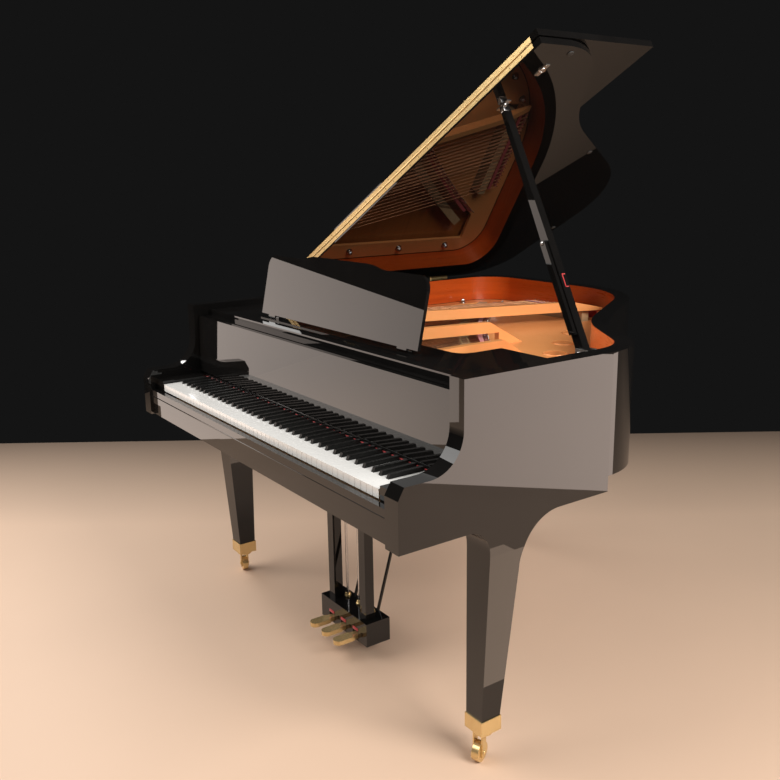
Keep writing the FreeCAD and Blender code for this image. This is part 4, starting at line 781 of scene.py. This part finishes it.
def makePropGear():  # red felt mark, pin heads, rivet of the short stick and the shoe at the top
    foot = at(*prop["foot"])
    tip = onLid(lid["cups"][0], lid["cupDepth"], lid["bottom"] - prop["gap"])
    rise = (tip - foot).normalized()
    back = (Vector((0, 1, 0)) - rise * rise.y).normalized()
    side = back.cross(rise)  # the prop's face towards the treble side
    basis = Matrix((side, back, rise)).transposed().to_4x4()
    low, high = prop["markEnds"]
    near, far = prop["markSides"]
    band = prop["markBand"]
    inner, outer = (prop["width"] / 2 + part for part in prop["markFace"])
    work = bmesh.new()
    for end, bottom, top in ((near + band, low, high), (far, high - band, high), (far, low, low + band)):
        corner = Vector((inner, near, bottom)) / 1000
        addBox(work, corner, Vector((outer, end, top)) / 1000, prop["markEase"] / 1000)
    bmesh.ops.transform(work, matrix=Matrix.Translation(foot) @ basis, verts=work.verts)
    piece("propFelt", work, "redFelt", "prop")
    work = bmesh.new()
    for way in (1, -1):
        out = back * way
        addTurned(work, prop["pinHead"], foot + out * (prop["depth"] / 2 + prop["pinOut"]) / 1000, out, 20)
    piece("propPinHeads", work, "steel", "case")
    work = bmesh.new()
    pivot = foot + rise * prop["stickStart"] / 1000 - back * (prop["depth"] / 2 + prop["rivetOut"]) / 1000
    addTurned(work, prop["rivet"], pivot, -back, 20)
    piece("halfStickRivet", work, "steel", "prop")
    work = bmesh.new()
    addBox(work, Vector(prop["shoeLow"]) / 1000, Vector(prop["shoeHigh"]) / 1000, prop["shoeEase"] / 1000)
    bmesh.ops.transform(work, matrix=Matrix.Translation(tip) @ basis, verts=work.verts)
    piece("propShoe", work, "steel", "prop")


lyreGear = {"pedals": (-66.0, 0.0, 66.0), "boxTop": 118.0, "boxFront": 303.0, "slotTop": 86.0,
            "slotHalf": 13.6, "feltProud": 1.6, "feltDeep": 20.0, "feltThick": 9.0, "feltGap": 0.1,
            "feltEase": 1.2, "rodDepth": 362.0,
            "collar": ((5.2, 0), (11.0, 0), (11.0, 3.0), (9.6, 4.2), (8.2, 9.4), (6.6, 10.4), (5.2, 10.4))}


def makeLyreGear():  # felt over each pedal's slot, and a collar round each rod
    half, front, top = lyreGear["slotHalf"], lyreGear["boxFront"], lyreGear["slotTop"]
    work = bmesh.new()
    for x in lyreGear["pedals"]:
        corner = at(x - half, front - lyreGear["feltProud"], top - lyreGear["feltThick"])
        other = at(x + half, front + lyreGear["feltDeep"], top - lyreGear["feltGap"])
        addBox(work, corner, other, lyreGear["feltEase"] / 1000)
    piece("pedalFelts", work, "redFelt", "case")
    work = bmesh.new()
    for x in lyreGear["pedals"]:
        addTurned(work, lyreGear["collar"], at(x, lyreGear["rodDepth"], lyreGear["boxTop"]), up, 28, True)
    piece("rodCollars", work, "brass", "case")


casterGear = {"places": {"front_right": (649.5, 292.0, 200.0), "front_left": (-649.5, 292.0, 75.0),
                         "rear": (-340.0, 1230.0, 320.0)},  # the last number is the swivel in degrees
              "trail": 16.0, "axle": 25.0, "cheek": 13.6,
              "cap": ((6.0, 0), (6.0, 0.8), (5.0, 1.9), (2.4, 2.6))}


def makeCasterGear():  # a cap on both ends of each axle
    for name, (x, y, swivel) in casterGear["places"].items():
        turn = Matrix.Rotation(math.radians(swivel), 3, "Z")
        middle = at(x, y, casterGear["axle"]) + turn @ Vector((0, casterGear["trail"] / 1000, 0))
        work = bmesh.new()
        for way in (1, -1):
            axis = turn @ Vector((way, 0, 0))
            addTurned(work, casterGear["cap"], middle + axis * casterGear["cheek"] / 1000, axis, 20)
        piece(name + "AxleCaps", work, "brass", name + "_caster")


dressNodes()
print("nodes dressed")
makeLining()
makeKeyEdges()
makeStringPins()
makeStringFelts()
makeBridgePins()
makePlateTrim()
print("case pieces done")
makeHingeScrews()
makeLidGear()
makePropGear()
makeLyreGear()
makeCasterGear()
print("moving pieces done")

view = {"lens": 40.64, "sensor": 36.0, "eye": (2065.8, -952.9, 1379.7), "yaw": 0.9621, "pitch": 0.2394,
        "roll": -0.0156}  # lens and sensor in millimetres, angles in radians
eye = at(*view["eye"])
viewAhead = Vector((-math.sin(view["yaw"]), math.cos(view["yaw"]), 0))
viewSide = viewAhead.cross(up)


def makeCamera():
    pitch, roll = view["pitch"], view["roll"]
    lens = bpy.data.cameras.new("photoView")
    lens.sensor_width = view["sensor"]
    lens.lens = view["lens"]
    camera = bpy.data.objects.new("photoView", lens)
    look = viewAhead * math.cos(pitch) - up * math.sin(pitch)
    level = viewSide.cross(look)
    basis = Matrix((math.cos(roll) * viewSide + math.sin(roll) * level,
                    math.cos(roll) * level - math.sin(roll) * viewSide, -look)).transposed().to_4x4()
    camera.matrix_world = Matrix.Translation(eye) @ basis
    bpy.context.scene.collection.objects.link(camera)
    bpy.context.scene.camera = camera
    bpy.context.scene.view_settings.view_transform = "Standard"


floorLook = {"pale": (0.645, 0.462, 0.337), "worn": 0.94, "rough": 0.55, "start": -9.0, "end": 4.57,
             "side": 9.0, "paintedFalloffFrom": 3.4, "paintedFalloff": 0.28}  # distances from the camera in metres; the last value darkens the far floor as painted shade


def makeFloor():
    work = bmesh.new()
    ground = Vector((eye.x, eye.y, 0))
    near, far, side = floorLook["start"], floorLook["end"], floorLook["side"]
    corners = ((near, -side), (near, side), (far, side), (far, -side))
    work.faces.new([work.verts.new(ground + viewAhead * run + viewSide * reach) for run, reach in corners])
    mesh = bpy.data.meshes.new("floor")
    work.to_mesh(mesh)
    work.free()
    floor = bpy.data.objects.new("floor", mesh)
    bpy.context.scene.collection.objects.link(floor)
    finish = Finish("paleFloor", Roughness=floorLook["rough"])
    # painted shade: a darker copy of the floor tone, blended in towards the far edge where the light falls
    # off
    worn, paintedShadeTone = (tuple(floorLook[shade] * part for part in floorLook["pale"]) for shade in ("worn", "paintedFalloff"))
    tone = finish.blend(finish.noise(2.0, 3.0), floorLook["pale"], worn)
    run = finish.axis("X") * viewAhead.x + finish.axis("Y") * viewAhead.y - eye.dot(viewAhead)
    paintedFalloff = (run - floorLook["paintedFalloffFrom"]) * (1 / (far - floorLook["paintedFalloffFrom"]))
    finish.feed("Base Color", finish.blend(paintedFalloff, tone, paintedShadeTone))  # painted shade, darker towards the back
    floor.data.materials.append(finish.material)


worldLook = {"dark": 0.007, "fill": 0.25, "tint": (1.0, 0.97, 0.94)}


def makeWorld():  # dark where it is seen or mirrored, a soft fill elsewhere
    world = bpy.data.worlds.new("studioWorld")
    bpy.context.scene.world = world
    world.use_nodes = True
    sheet = Sheet(world.node_tree)
    rays = ("Is Camera Ray", "Is Glossy Ray", "Is Transmission Ray")
    seen, mirrored, through = (sheet.node("ShaderNodeLightPath", {}, {}, ray) for ray in rays)
    mask = sheet.larger(sheet.larger(seen, mirrored), through)
    dark = sheet.node("ShaderNodeBackground", {}, {0: (worldLook["dark"],) * 3, 1: 1.0})
    fill = sheet.node("ShaderNodeBackground", {}, {0: worldLook["tint"], 1: worldLook["fill"]})
    mix = sheet.node("ShaderNodeMixShader", {}, {0: mask, 1: fill, 2: dark})
    sheet.node("ShaderNodeOutputWorld", {}, {0: mix})


lamps = {  # place and aim in metres, width and height, watts; a card is only mirrored and lights nothing
    "keySoftbox": {"spot": (2.9, 0.1, 2.6), "aim": (0.0, 0.2, 0.8), "size": (1.7, 1.7), "power": 140},
    "fillSoftbox": {"spot": (-1.5, -3.0, 3.6), "aim": (-0.2, -0.6, 0.6), "size": (3.4, 3.4), "power": 160},
    "edgeSoftbox": {"spot": (-3.3, -0.9, 2.4), "aim": (0.3, -0.5, 0.9), "size": (1.8, 0.8), "power": 36},
    "sideReflector": {"spot": (2.1, 0.95, 0.31), "aim": (1.39, 0.25, 0.31), "size": (1.3, 0.62), "power": 3.5,
                      "tint": (1.0, 0.81, 0.71), "spread": 90},
    "frontReflector": {"spot": (-1.735, -1.806, 0.72), "aim": (-0.885, -1.286, 0.72), "size": (1.25, 1.24),
                       "power": 2.9, "tint": (1.0, 0.85, 0.76), "spread": 90},
    "legReflector": {"spot": (1.255, 0.02, 0.03), "aim": (1.255, 0.02, 1.0), "size": (0.81, 0.72),
                     "power": 3.6, "tint": (1.0, 0.74, 0.56), "card": True},
}


def makeLamp(name, spot, aim, size, power, tint=worldLook["tint"], spread=180, card=False):
    lamp = bpy.data.lights.new(name, "AREA")
    lamp.shape = "RECTANGLE"
    lamp.size, lamp.size_y = size
    lamp.energy = power
    lamp.color = tint
    lamp.spread = math.radians(spread)
    item = bpy.data.objects.new(name, lamp)
    item.location = spot
    item.rotation_euler = (Vector(aim) - Vector(spot)).to_track_quat("-Z", "Y").to_euler()
    item.visible_camera = False
    item.visible_diffuse = not card
    bpy.context.scene.collection.objects.link(item)


makeCamera()
makeFloor()
makeWorld()
for lampName, lampLook in lamps.items():
    makeLamp(lampName, **lampLook)
print("studio done")
